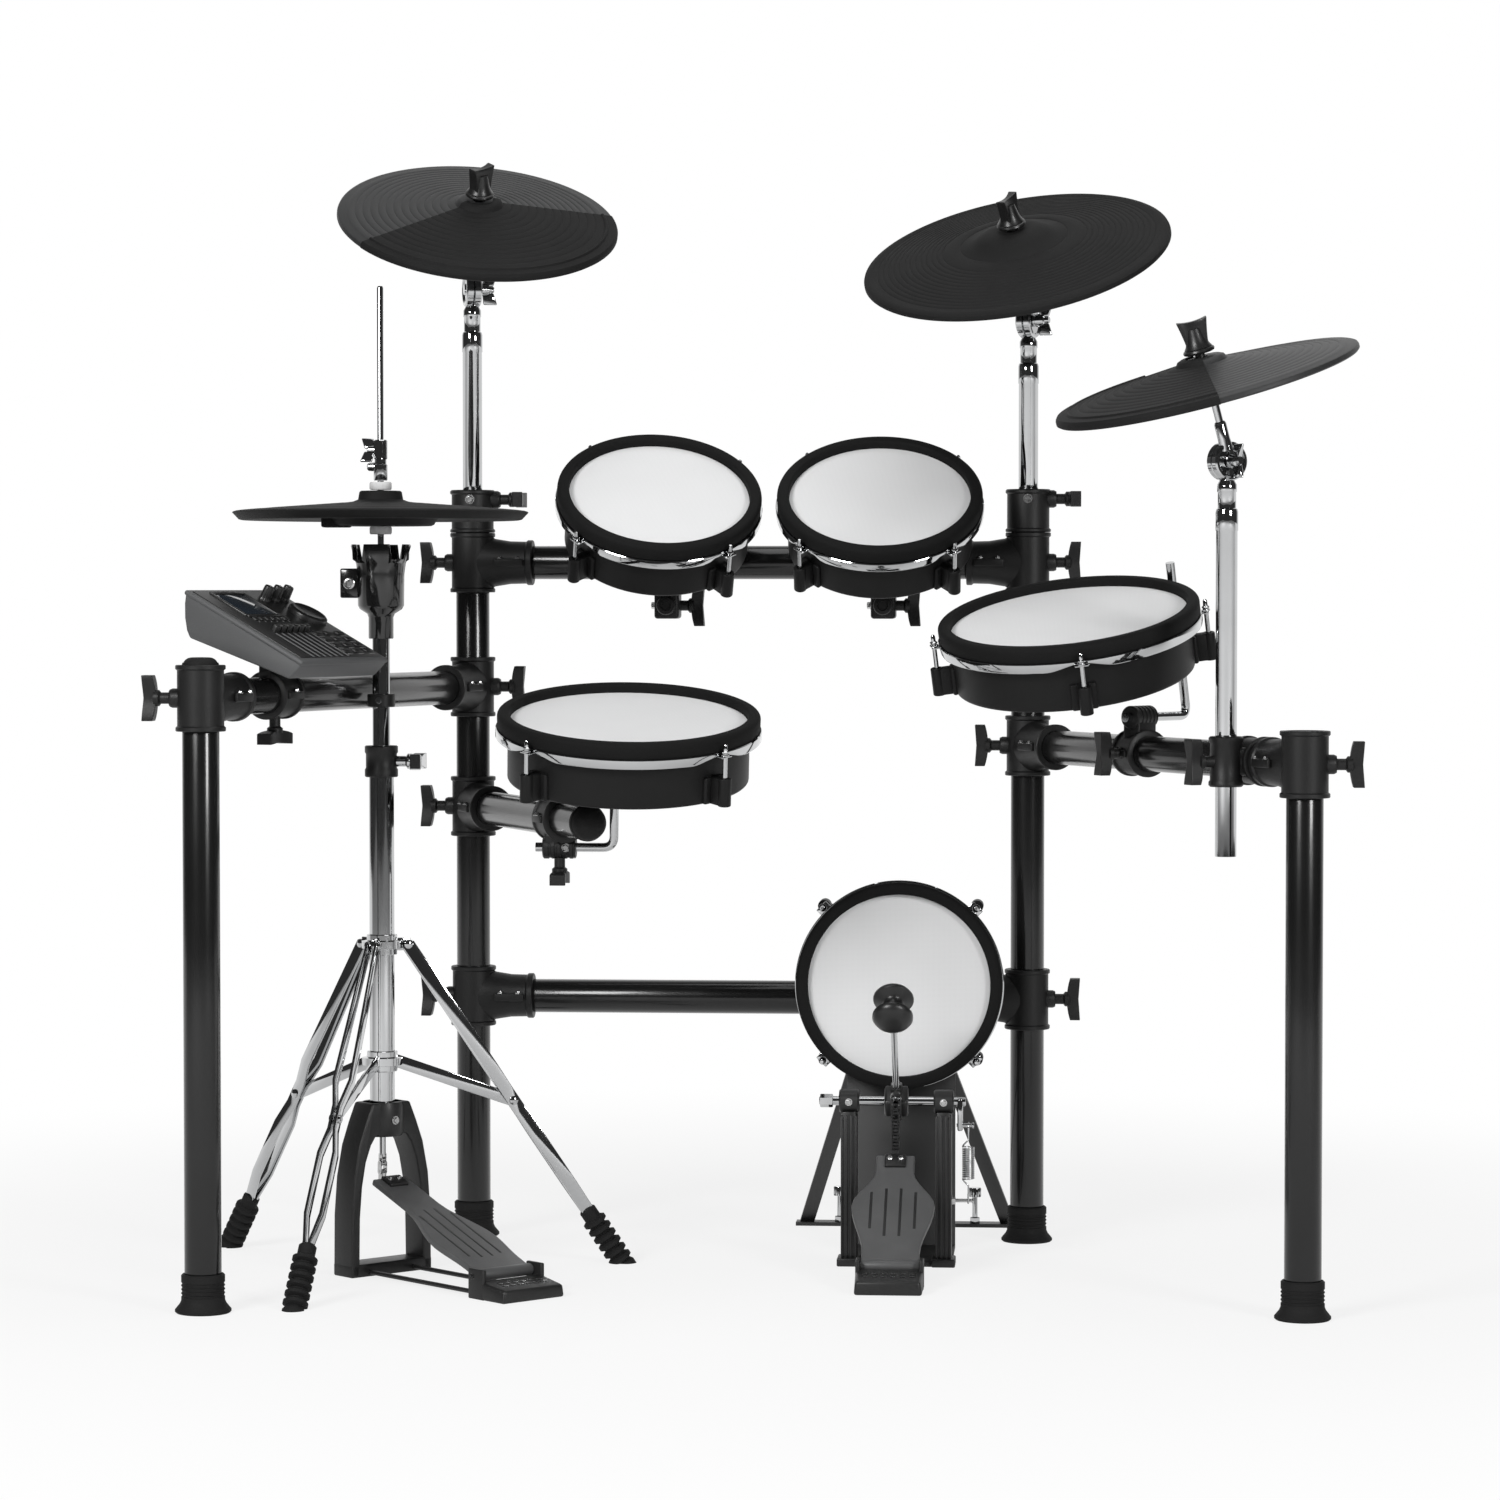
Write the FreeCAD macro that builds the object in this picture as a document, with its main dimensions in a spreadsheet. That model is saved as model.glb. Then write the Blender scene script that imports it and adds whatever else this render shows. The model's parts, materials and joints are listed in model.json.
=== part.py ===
"""Electronic drum kit: a tube rack with four drum pads, three cymbal pads and a sound module,
a hi-hat on its own stand, and a kick pad on its own tower with a pedal.

Millimetres, +Z up, +Y to the back of the kit, +X to the right as the audience of the photo sees it.
The origin is on the floor under the middle of the kit.
"""
import FreeCAD, Part
import math
import os
from types import SimpleNamespace

import Sketcher

V = FreeCAD.Vector
UP = V(0, 0, 1)
RIGHT = V(1, 0, 0)
BACK = V(0, 1, 0)

doc = FreeCAD.newDocument("drum_kit")
sheet = doc.addObject("Spreadsheet::Sheet", "sizes")
used_rows = []
nodes = []


class Size(float):
    """A length, angle or share read from the sheet, which remembers the expression that gives it."""

    def __new__(cls, value, text):
        made = float.__new__(cls, value)
        made.text = text
        return made

    def _join(self, sign, other, value, swap=False):
        texts = [self.text, getattr(other, "text", repr(float(other)))]
        if swap:
            texts.reverse()
        return Size(value, f"({texts[0]} {sign} {texts[1]})")

    def __add__(self, other):
        return self._join("+", other, float(self) + float(other))

    def __radd__(self, other):
        return self._join("+", other, float(other) + float(self), True)

    def __sub__(self, other):
        return self._join("-", other, float(self) - float(other))

    def __rsub__(self, other):
        return self._join("-", other, float(other) - float(self), True)

    def __mul__(self, other):
        return self._join("*", other, float(self) * float(other))

    def __rmul__(self, other):
        return self._join("*", other, float(other) * float(self), True)

    def __truediv__(self, other):
        return self._join("/", other, float(self) / float(other))

    def __neg__(self):
        return Size(-float(self), f"(-1 * {self.text})")


def sizes(group, values):
    """Write a group of named values to the sheet and hand them back as Size values."""
    found = {}
    for name, value in values.items():
        used_rows.append(name)
        row = len(used_rows)
        alias = f"{group}_{name}"
        sheet.set(f"A{row}", alias)
        sheet.set(f"B{row}", str(value))
        sheet.setAlias(f"B{row}", alias)
        found[name] = alias
    sheet.recompute()
    return SimpleNamespace(**{n: Size(float(sheet.get(a)), f"sizes.{a}") for n, a in found.items()})


def bind(thing, **values):
    """Set a feature's sizes, each by the expression behind it where it has one."""
    for name, value in values.items():
        setattr(thing, name, float(value))
        if isinstance(value, Size):
            thing.setExpression(name, value.text)


def stand(at, up=UP, front=None):
    """A placement at a point, with its Z along up and its X as near to front as that allows."""
    z = V(up).normalize()
    x = V(front) if front else (BACK if abs(z.x) > abs(z.z) else RIGHT)
    y = z.cross(x).normalize()
    return FreeCAD.Placement(at, FreeCAD.Rotation(y.cross(z), y, z, "ZXY"))


def heading(angle, rise=0.0):
    """The direction that points an angle from -Y towards +X, and rises by another angle."""
    turn, climb = math.radians(angle), math.radians(rise)
    return V(math.sin(turn) * math.cos(climb), -math.cos(turn) * math.cos(climb), math.sin(climb))


def rod(radius, length, where):
    thing = doc.addObject("Part::Cylinder", "rod")
    bind(thing, Radius=radius, Height=length)
    thing.Placement = where
    return thing


def span(radius, start, end):
    """A round bar from one point to another."""
    return rod(radius, (end - start).Length, stand(start, end - start))


def cone(radius, top_radius, length, where):
    thing = doc.addObject("Part::Cone", "cone")
    bind(thing, Radius1=radius, Radius2=top_radius, Height=length)
    thing.Placement = where
    return thing


def ball(radius, at):
    thing = doc.addObject("Part::Sphere", "ball")
    bind(thing, Radius=radius)
    thing.Placement = FreeCAD.Placement(at, FreeCAD.Rotation())
    return thing


def block(length, width, height, where):
    """A box centred on its placement in X and Y, which rises from it along Z."""
    thing = doc.addObject("Part::Box", "block")
    bind(thing, Length=length, Width=width, Height=height)
    corner = FreeCAD.Placement(V(-length / 2, -width / 2, 0), FreeCAD.Rotation())
    thing.Placement = where.multiply(corner)
    return thing


def fuse(*things):
    if len(things) == 1:
        return things[0]
    thing = doc.addObject("Part::MultiFuse", "fuse")
    thing.Shapes = list(things)
    return thing


def cut(base, *tools):
    thing = doc.addObject("Part::Cut", "cut")
    thing.Base = base
    thing.Tool = fuse(*tools)
    return thing


def tube(radius, wall, length, where):
    return cut(rod(radius, length, where), rod(radius - wall, length, where))


def outline(points, plane):
    """A body with a closed sketch through points, each held to its sizes from the sketch's origin."""
    body = doc.addObject("PartDesign::Body", "body")
    sketch = body.newObject("Sketcher::SketchObject", "outline")
    sketch.AttachmentSupport = [(next(f for f in body.Origin.OriginFeatures if f.Role == plane), "")]
    sketch.MapMode = "FlatFace"
    count = len(points)
    corners = [V(x, y, 0) for x, y in points]
    for i in range(count):
        sketch.addGeometry(Part.LineSegment(corners[i], corners[(i + 1) % count]), False)
    for i in range(count):
        sketch.addConstraint(Sketcher.Constraint("Coincident", i, 2, (i + 1) % count, 1))
    for i, point in enumerate(points):
        for kind, value in zip(("DistanceX", "DistanceY"), point):
            index = sketch.addConstraint(Sketcher.Constraint(kind, -1, 1, i, 1, float(value)))
            if isinstance(value, Size):
                sketch.setExpression(f"Constraints[{index}]", value.text)
    return body, sketch


def lathe(points, where):
    """A turned piece: points are (radius, height) round the section."""
    body, sketch = outline(points, "XZ_Plane")
    turned = body.newObject("PartDesign::Revolution", "turned")
    turned.Profile = sketch
    turned.ReferenceAxis = (sketch, ["V_Axis"])
    turned.Angle = 360
    body.Placement = where
    return body


def plate(points, thickness, where):
    """A flat piece: an outline in the placement's XY, which rises along its Z."""
    body, sketch = outline(points, "XY_Plane")
    grown = body.newObject("PartDesign::Pad", "grown")
    grown.Profile = sketch
    bind(grown, Length=thickness)
    body.Placement = where
    return body


def node(label, *things):
    """One named sub-part, of one solid or of several that belong together."""
    if len(things) == 1:
        thing = things[0]
    else:
        thing = doc.addObject("Part::Compound", "group")
        thing.Links = list(things)
    thing.Label = label
    nodes.append(thing)


# Rack: the tubes that everything but the hi-hat stand and the kick tower hangs on.
rack_sizes = {
    "centre_x": -34.2, "rear_y": 255, "rear_span": 635.5, "tube_od": 38.1, "tube_wall": 2,
    "fit_gap": 0.05, "post_over": 62, "foot_floor": 5, "upper_bar_height": 774, "lower_bar_height": 277,
    "wing_length": 607, "left_bar_height": 632, "left_heading": -19.55, "left_leg_over": 29,
    "right_bar_height": 566, "right_heading": 28.26, "right_leg_over": 21, "snare_arm_drop": 137,
    "snare_arm_length": 411, "snare_arm_heading": 25.3,
}
rack = sizes("rack", rack_sizes)
clamp_sizes = {
    "od": 48, "height": 68, "rim_od": 51.5, "rim_height": 5, "reach": 70, "web": 4, "gusset": 22,
    "gusset_end": 40, "boss_od": 20, "boss_reach": 32, "stem_od": 11.8, "stem_length": 13,
    "handle_length": 47, "handle_width": 17, "handle_thickness": 15, "sleeve_length": 40,
}
clamp = sizes("clamp", clamp_sizes)
foot_sizes = {
    "flange_od": 58, "flange_height": 4, "cone_height": 13, "sleeve_od": 45, "height": 40,
}
foot = sizes("foot", foot_sizes)
cap_sizes = {
    "rim_od": 38.1, "rim_height": 8, "shoulder_radius": 16, "shoulder_height": 11, "height": 13,
}
cap = sizes("cap", cap_sizes)

tube_radius = rack.tube_od / 2
bore_radius = tube_radius + rack.fit_gap
bar_start = tube_radius + clamp.web
post_top = rack.upper_bar_height + rack.post_over
left_leg_top = rack.left_bar_height + rack.left_leg_over
right_leg_top = rack.right_bar_height + rack.right_leg_over
snare_arm_height = rack.left_bar_height - rack.snare_arm_drop
rear_mid = V(rack.centre_x, rack.rear_y, 0)
left_post = rear_mid - RIGHT * (rack.rear_span / 2)
right_post = rear_mid + RIGHT * (rack.rear_span / 2)
left_way = heading(rack.left_heading)
right_way = heading(rack.right_heading)
left_leg = left_post + left_way * rack.wing_length
right_leg = right_post + right_way * rack.wing_length
arm_way = heading(rack.snare_arm_heading)


def post(at, top):
    """An upright tube that stands in its foot."""
    return tube(tube_radius, rack.tube_wall, top - rack.foot_floor, stand(at + UP * rack.foot_floor))


def bar(start, way, length):
    return tube(tube_radius, rack.tube_wall, length, stand(start, way))


def t_clamp(at, bar_way, knob_way):
    """A moulded tee that holds a bar square to a post, with a flared web and a boss for its knob."""
    below = at - UP * (clamp.height / 2)
    side = bar_way.cross(UP)
    sleeve = rod(clamp.od / 2, clamp.height, stand(below))
    low_rim = rod(clamp.rim_od / 2, clamp.rim_height, stand(below))
    high_rim = rod(clamp.rim_od / 2, clamp.rim_height,
                   stand(at + UP * (clamp.height / 2 - clamp.rim_height)))
    arm = rod(clamp.od / 2, clamp.reach, stand(at, bar_way))
    arm_rim = rod(clamp.rim_od / 2, clamp.rim_height,
                  stand(at + bar_way * (clamp.reach - clamp.rim_height), bar_way))
    web = plate([(0, -clamp.height / 2), (clamp.reach, -clamp.gusset_end / 2),
                 (clamp.reach, clamp.gusset_end / 2), (0, clamp.height / 2)],
                clamp.gusset, stand(at - side * (clamp.gusset / 2), side, bar_way))
    boss = rod(clamp.boss_od / 2, clamp.boss_reach, stand(at, knob_way))
    post_hole = rod(bore_radius, clamp.height, stand(below))
    bar_hole = rod(bore_radius, clamp.reach, stand(at + bar_way * bar_start, bar_way))
    return cut(fuse(sleeve, low_rim, high_rim, arm, arm_rim, web, boss), post_hole, bar_hole)


def t_knob(at, way, across=UP):
    """A moulded T-handle on its screw, whose stem meets the boss it screws into."""
    stem = rod(clamp.stem_od / 2, clamp.stem_length, stand(at, way))
    handle = block(clamp.handle_length, clamp.handle_width, clamp.handle_thickness,
                   stand(at + way * clamp.stem_length, way, across))
    return fuse(stem, handle)


def clamp_knob(at, way, across=UP):
    return t_knob(at + way * clamp.boss_reach, way, across)


def rubber_foot(at):
    return lathe([(0, 0), (foot.flange_od / 2, 0), (foot.flange_od / 2, foot.flange_height),
                  (foot.sleeve_od / 2, foot.cone_height), (foot.sleeve_od / 2, foot.height),
                  (bore_radius, foot.height), (bore_radius, rack.foot_floor), (0, rack.foot_floor)],
                 stand(at))


def tube_cap(at, way=UP):
    """A domed plastic cap on the end of a tube."""
    return lathe([(0, 0), (cap.rim_od / 2, 0), (cap.rim_od / 2, cap.rim_height),
                  (cap.shoulder_radius, cap.shoulder_height), (0, cap.height)], stand(at, way))


# Rear frame: two posts, two crossbars, their tee clamps and the collars that guide the cymbal masts.
mast_sizes = {
    "lower_od": 22.2, "upper_od": 19, "collar_rise": 21, "collar_gap": 0.5, "collar_boss_drop": 11,
}
mast = sizes("mast", mast_sizes)
upper_bar = rack.upper_bar_height
lower_bar = rack.lower_bar_height
bar_span = rack.rear_span - bar_start * 2
rear_tees = [(left_post + UP * upper_bar, RIGHT, -RIGHT), (left_post + UP * lower_bar, RIGHT, -RIGHT),
             (right_post + UP * upper_bar, -RIGHT, RIGHT), (right_post + UP * lower_bar, -RIGHT, RIGHT),
             (left_post + UP * snare_arm_height, arm_way, -RIGHT)]
collar_foot = upper_bar + clamp.height / 2 + mast.collar_gap
collar_top = post_top + mast.collar_rise
collar_boss = collar_top - mast.collar_boss_drop


def mast_collar(at):
    """A sleeve over the post's end, drawn in to the mast, with a boss for its wing screw."""
    guide = mast.lower_od / 2 + rack.fit_gap
    body = lathe([(bore_radius, collar_foot), (clamp.od / 2, collar_foot),
                  (clamp.od / 2, collar_top - clamp.rim_height),
                  (clamp.rim_od / 2, collar_top - clamp.rim_height),
                  (clamp.rim_od / 2, collar_top), (guide, collar_top),
                  (guide, post_top), (bore_radius, post_top)], stand(at))
    boss = rod(clamp.boss_od / 2, clamp.boss_reach, stand(at + UP * collar_boss, RIGHT))
    hole = rod(guide, collar_top, stand(at))
    return fuse(body, cut(boss, hole))


node("rear_posts", post(left_post, post_top), post(right_post, post_top))
node("crossbars", *[bar(left_post + UP * height + RIGHT * bar_start, RIGHT, bar_span)
                    for height in (upper_bar, lower_bar)])
node("rear_clamps", *[t_clamp(*tee) for tee in rear_tees], mast_collar(left_post), mast_collar(right_post))
node("rear_feet", rubber_foot(left_post), rubber_foot(right_post))
node("clamp_knobs", *[clamp_knob(at, knob_way) for at, _, knob_way in rear_tees],
     clamp_knob(left_post + UP * collar_boss, RIGHT, BACK),
     clamp_knob(right_post + UP * collar_boss, RIGHT, BACK))
arm_foot = left_post + UP * snare_arm_height
node("snare_arm", bar(arm_foot + arm_way * bar_start, arm_way, rack.snare_arm_length - bar_start),
     tube_cap(arm_foot + arm_way * rack.snare_arm_length, arm_way))


# Side wings: a bar from each rear post to a front leg, which swings round the post when its clamp is slack.
def wing(name, rear, front, way, height, leg_top, outside):
    """One side wing: bar, front leg, the two tees, the cap and foot, and the two knobs."""
    length = rack.wing_length - bar_start * 2
    tees = [(rear + UP * height, way, -outside), (front + UP * height, -way, outside)]
    node(f"side_bar_{name}", bar(rear + UP * height + way * bar_start, way, length))
    node(f"front_leg_{name}", post(front, leg_top))
    node(f"wing_clamps_{name}", *[t_clamp(*tee) for tee in tees],
         *[clamp_knob(at, knob_way) for at, _, knob_way in tees])
    node(f"leg_trim_{name}", tube_cap(front + UP * leg_top), rubber_foot(front))


wing("left", left_post, left_leg, left_way, rack.left_bar_height, left_leg_top, -RIGHT)
wing("right", right_post, right_leg, right_way, rack.right_bar_height, right_leg_top, RIGHT)


# Drum pads: a moulded shell, a mesh head on its edge, and a chrome hoop with a rubber rim and four rods.
drum_sizes = {
    "rim_height": 17, "rim_width": 13.5, "rim_round": 4, "hoop_height": 10, "hoop_proud": 1.5,
    "hoop_wall": 8, "shell_depth": 47, "shell_inset": 11.5, "edge_inset": 2.5, "wall": 6, "base": 4,
    "head_drop": 9, "head_thickness": 1, "head_gap": 0.3, "lug_od": 14, "lug_length": 30, "lug_out": 4.5,
    "rod_od": 5, "nut_od": 8, "nut_height": 9, "ear_width": 15, "ear_thickness": 4, "cone_radius": 28,
    "cone_top_radius": 8,
}
drum = sizes("drum", drum_sizes)
mount_sizes = {
    "l_rod_od": 10, "socket_od": 25, "socket_length": 36, "snare_grip_reach": 310, "snare_drop": 31,
    "snare_bend": 59, "boss_height": 6, "boss_od": 22, "tom_pivot_rise": 36, "hub_od": 18, "hub_length": 20,
    "ear": 6, "ear_gap": 0.15, "pin_od": 8, "neck_od": 14, "tom_block_width": 28, "tom_block_depth": 40,
    "tom_block_drop": 64, "wheel_od": 22, "wheel_length": 10, "key_drop": 49, "floor_grip_reach": 262,
    "floor_rise": 39, "floor_rod_out": 11, "floor_rod_turn": 42, "floor_rod_tip": 14, "bracket_width": 24,
    "bracket_height": 22, "bracket_drop": 52,
}
mount = sizes("mount", mount_sizes)
drum_depth = drum.rim_height + drum.hoop_height + drum.shell_depth


def polar(place, radius, turn, height):
    """A point given round a placed piece's own axis."""
    angle = math.radians(turn)
    return place.multVec(V(radius * math.cos(angle), radius * math.sin(angle), height))


def lean(tilt, facing):
    """The normal of a disc that leans by tilt towards the heading that it faces."""
    return heading(facing, 90.0 - tilt)


def drum_pad(name, place, od, lug_turn, extras, fittings):
    """One pad at its placement, whose Z is the head's normal and whose origin is the rim's top."""
    rim_radius = od / 2
    head_radius = rim_radius - drum.rim_width
    hoop_radius = rim_radius + drum.hoop_proud
    shell_radius = rim_radius - drum.shell_inset
    edge_radius = shell_radius - drum.edge_inset
    lug_radius = hoop_radius + drum.lug_out
    hoop_foot = -drum.rim_height - drum.hoop_height
    axis = place.Rotation.multVec(UP)
    shell = [lathe([(0, -drum_depth), (shell_radius, -drum_depth), (shell_radius, hoop_foot),
                    (edge_radius, hoop_foot), (edge_radius, -drum.head_drop - drum.head_thickness),
                    (edge_radius - drum.wall, -drum.head_drop - drum.head_thickness),
                    (edge_radius - drum.wall, drum.base - drum_depth), (0, drum.base - drum_depth)], place)]
    hoop = [lathe([(hoop_radius - drum.hoop_wall, hoop_foot), (hoop_radius, hoop_foot),
                   (hoop_radius, -drum.rim_height), (hoop_radius - drum.hoop_wall, -drum.rim_height)],
                  place)]
    holes, rods = [], []
    for step in range(4):
        turn = lug_turn + 90.0 * step
        outward = polar(place, 1.0, turn, 0) - place.Base
        lug_foot = polar(place, lug_radius, turn, -drum_depth)
        ear_foot = polar(place, lug_radius, turn, hoop_foot)
        lug_top = lug_foot + axis * drum.lug_length
        reach = lug_radius - shell_radius + drum.wall / 2
        shell.append(rod(drum.lug_od / 2, drum.lug_length, stand(lug_foot, axis)))
        shell.append(block(reach, drum.lug_od, drum.lug_length,
                           stand(lug_foot - outward * (reach / 2), axis, outward)))
        hoop.append(rod(drum.ear_width / 2, drum.ear_thickness, stand(ear_foot, axis)))
        holes.append(rod(drum.rod_od / 2 + rack.fit_gap, drum.ear_thickness, stand(ear_foot, axis)))
        nut_foot = ear_foot + axis * drum.ear_thickness
        rods.append(fuse(rod(drum.rod_od / 2, (nut_foot - lug_top).Length, stand(lug_top, axis)),
                         rod(drum.nut_od / 2, drum.nut_height, stand(nut_foot, axis))))
    rim_hole = rod(rim_radius - drum.hoop_wall / 2, drum.hoop_height,
                   stand(polar(place, 0, 0, hoop_foot), axis))
    rim = lathe([(head_radius, -drum.rim_height), (rim_radius, -drum.rim_height),
                 (rim_radius, -drum.rim_round), (rim_radius - drum.rim_round, 0),
                 (head_radius + drum.rim_round, 0), (head_radius, -drum.rim_round)], place)
    head = rod(head_radius - drum.head_gap, drum.head_thickness,
               stand(polar(place, 0, 0, -drum.head_drop - drum.head_thickness), axis))
    cone_height = drum_depth - drum.base - drum.head_drop - drum.head_thickness
    sensor = cone(drum.cone_radius, drum.cone_top_radius, cone_height,
                  stand(polar(place, 0, 0, drum.base - drum_depth), axis))
    node(f"{name}_shell", fuse(*shell, *extras), sensor, *fittings)
    node(f"{name}_head", head)
    node(f"{name}_hoop", cut(fuse(*hoop), *holes, rim_hole), rim, *rods)


def to_base(place, at):
    """How far a point under a drum is from its base, along the drum's axis."""
    return -drum_depth - place.inverse().multVec(at).z


# Snare: its L-rod turns in a socket under the short arm and carries the shell's base.
snare_sizes = {
    "od": 281, "x": 83.5691, "y": -77.6344, "rise": 118, "tilt": 12.3, "facing": 9.7, "lug_turn": -41,
}
snare = sizes("snare", snare_sizes)
mounts = []
snare_axis = lean(snare.tilt, snare.facing)
snare_grip = arm_foot + arm_way * mount.snare_grip_reach
snare_place = stand(snare_grip + V(snare.x, snare.y, snare.rise), snare_axis, RIGHT)
snare_socket = snare_grip - UP * mount.snare_drop
socket_bore = mount.l_rod_od / 2 + rack.fit_gap


def grip(at, bar_way, socket_at, socket_way):
    """A clamp round a bar with a split socket for an L-rod, joined to it by a web."""
    sleeve = rod(clamp.od / 2, clamp.sleeve_length, stand(at - bar_way * (clamp.sleeve_length / 2), bar_way))
    socket = rod(mount.socket_od / 2, mount.socket_length,
                 stand(socket_at - socket_way * (mount.socket_length / 2), socket_way))
    web = block(mount.socket_length, mount.socket_od, (socket_at - at).Length,
                stand(at, socket_at - at, socket_way))
    bar_hole = rod(bore_radius, clamp.sleeve_length * 2, stand(at - bar_way * clamp.sleeve_length, bar_way))
    rod_hole = rod(socket_bore, mount.socket_length * 2,
                   stand(socket_at - socket_way * mount.socket_length, socket_way))
    return cut(fuse(sleeve, socket, web), bar_hole, rod_hole)


def l_rod(start, bend, end):
    radius = mount.l_rod_od / 2
    return fuse(span(radius, start, bend), ball(radius, bend), span(radius, bend, end))


mounts.append(grip(snare_grip, arm_way, snare_socket, RIGHT))
mounts.append(t_knob(snare_socket - UP * (mount.socket_od / 2), -UP, BACK))
snare_bend = snare_socket + RIGHT * mount.snare_bend
snare_boss = snare_bend + snare_axis * (to_base(snare_place, snare_bend) - mount.boss_height)
drum_pad("snare", snare_place, snare.od, snare.lug_turn,
         [rod(mount.boss_od / 2, mount.boss_height + drum.base / 2, stand(snare_boss, snare_axis))],
         [l_rod(snare_socket - RIGHT * (mount.socket_length / 2), snare_bend, snare_boss)])


def fork(on_bar, rise, pin_way, pivot_rise, hub_length, ear_od):
    """Two ears that hold a hub between them on a pin: the ears, the hole for the pin, and the pin."""
    pivot = on_bar + rise * pivot_rise
    ear_out = hub_length / 2 + mount.ear_gap
    pin_length = (ear_out + mount.ear) * 2
    pin_foot = stand(pivot - pin_way * (pin_length / 2), pin_way)
    ears = []
    for side in (-1, 1):
        middle = pin_way * (side * (ear_out + mount.ear / 2))
        ears.append(block(mount.ear, ear_od, pivot_rise, stand(on_bar + middle, rise, pin_way)))
        ears.append(rod(ear_od / 2, mount.ear, stand(pivot + middle - pin_way * (mount.ear / 2), pin_way)))
    pin_hole = rod(mount.pin_od / 2 + rack.fit_gap, pin_length, pin_foot)
    return ears, pin_hole, rod(mount.pin_od / 2, pin_length, pin_foot)


# Rack toms: each sits on a short neck whose hub turns on a pin between two ears of its crossbar clamp.
def rack_tom(name, spec):
    axis = lean(spec.tilt, spec.facing)
    place = stand(rear_mid + V(spec.x, spec.y, upper_bar + spec.rise), axis, RIGHT)
    on_bar = rear_mid + V(spec.x, 0, upper_bar)
    rise = lean(spec.tilt, 0)
    pivot = on_bar + rise * mount.tom_pivot_rise
    ears, pin_hole, pin = fork(on_bar, rise, RIGHT, mount.tom_pivot_rise, mount.hub_length, mount.hub_od)
    sleeve = rod(clamp.od / 2, clamp.sleeve_length, stand(on_bar - RIGHT * (clamp.sleeve_length / 2), RIGHT))
    body = block(mount.tom_block_width, mount.tom_block_depth, mount.tom_block_drop,
                 stand(on_bar - UP * mount.tom_block_drop))
    bar_hole = rod(bore_radius, clamp.sleeve_length,
                   stand(on_bar - RIGHT * (clamp.sleeve_length / 2), RIGHT))
    mounts.append(cut(fuse(sleeve, body, *ears), bar_hole, pin_hole))
    mounts.append(pin)
    mounts.append(rod(mount.wheel_od / 2, mount.wheel_length,
                      stand(on_bar - BACK * (mount.tom_block_depth / 2) - UP * mount.key_drop, -BACK)))
    mounts.append(t_knob(on_bar + RIGHT * (mount.tom_block_width / 2) - UP * mount.key_drop, RIGHT))
    neck = to_base(place, pivot) + drum.base / 2
    hub_foot = pivot - RIGHT * (mount.hub_length / 2)
    hub = cut(fuse(rod(mount.hub_od / 2, mount.hub_length, stand(hub_foot, RIGHT)),
                   rod(mount.neck_od / 2, neck, stand(pivot, axis))),
              rod(mount.pin_od / 2 + rack.fit_gap, mount.hub_length, stand(hub_foot, RIGHT)))
    drum_pad(name, place, spec.od, spec.lug_turn, [hub], [])


tom_left_sizes = {
    "od": 230, "x": -93.1, "y": -97.6, "rise": 81, "tilt": 35.6, "facing": 11.4, "lug_turn": -45,
}
tom_left = sizes("tom_left", tom_left_sizes)
tom_right_sizes = {
    "od": 230, "x": 153.6, "y": -100, "rise": 78, "tilt": 35.6, "facing": 2.1, "lug_turn": -45,
}
tom_right = sizes("tom_right", tom_right_sizes)
rack_tom("tom_left", tom_left)
rack_tom("tom_right", tom_right)
node("drum_mounts", *mounts)


# Floor tom: its L-rod stands behind the shell, turns in a socket over the right bar and slides in a bracket.
floor_sizes = {
    "od": 281, "x": -77.9, "y": -70.6283, "rise": 154.5, "tilt": 16.3, "facing": -23.6, "lug_turn": 5,
}
floor = sizes("floor_tom", floor_sizes)
floor_axis = lean(floor.tilt, floor.facing)
floor_grip = right_post + right_way * mount.floor_grip_reach + UP * rack.right_bar_height
floor_place = stand(floor_grip + V(floor.x, floor.y, floor.rise), floor_axis, RIGHT)
floor_socket = floor_grip + UP * mount.floor_rise
rod_radius = floor.od / 2 + mount.floor_rod_out
rod_at_rim = polar(floor_place, rod_radius, mount.floor_rod_turn, 0)
rod_bend = rod_at_rim - floor_axis * ((rod_at_rim.z - floor_socket.z) / floor_axis.z)
socket_way = (rod_bend - floor_socket).normalize()
rod_outward = (rod_at_rim - floor_place.Base).normalize()
bracket_reach = mount.floor_rod_out + drum.shell_inset + drum.wall + mount.bracket_width / 2
bracket_foot = rod_at_rim - floor_axis * (mount.bracket_drop + mount.bracket_height / 2)
bracket = cut(block(bracket_reach, mount.bracket_width, mount.bracket_height,
                    stand(bracket_foot + rod_outward * (mount.bracket_width / 2 - bracket_reach / 2),
                          floor_axis, rod_outward)),
              rod(socket_bore, mount.bracket_height * 2,
                  stand(bracket_foot - floor_axis * mount.bracket_height, floor_axis)),
              rod(floor.od / 2 - drum.shell_inset - drum.wall, mount.bracket_height * 2,
                  stand(floor_place.multVec(V(0, 0, -mount.bracket_drop - mount.bracket_height * 2)),
                        floor_axis)))
drum_pad("floor_tom", floor_place, floor.od, floor.lug_turn, [bracket],
         [l_rod(floor_socket - socket_way * (mount.socket_length / 2), rod_bend,
                rod_at_rim + floor_axis * mount.floor_rod_tip)])


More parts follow.
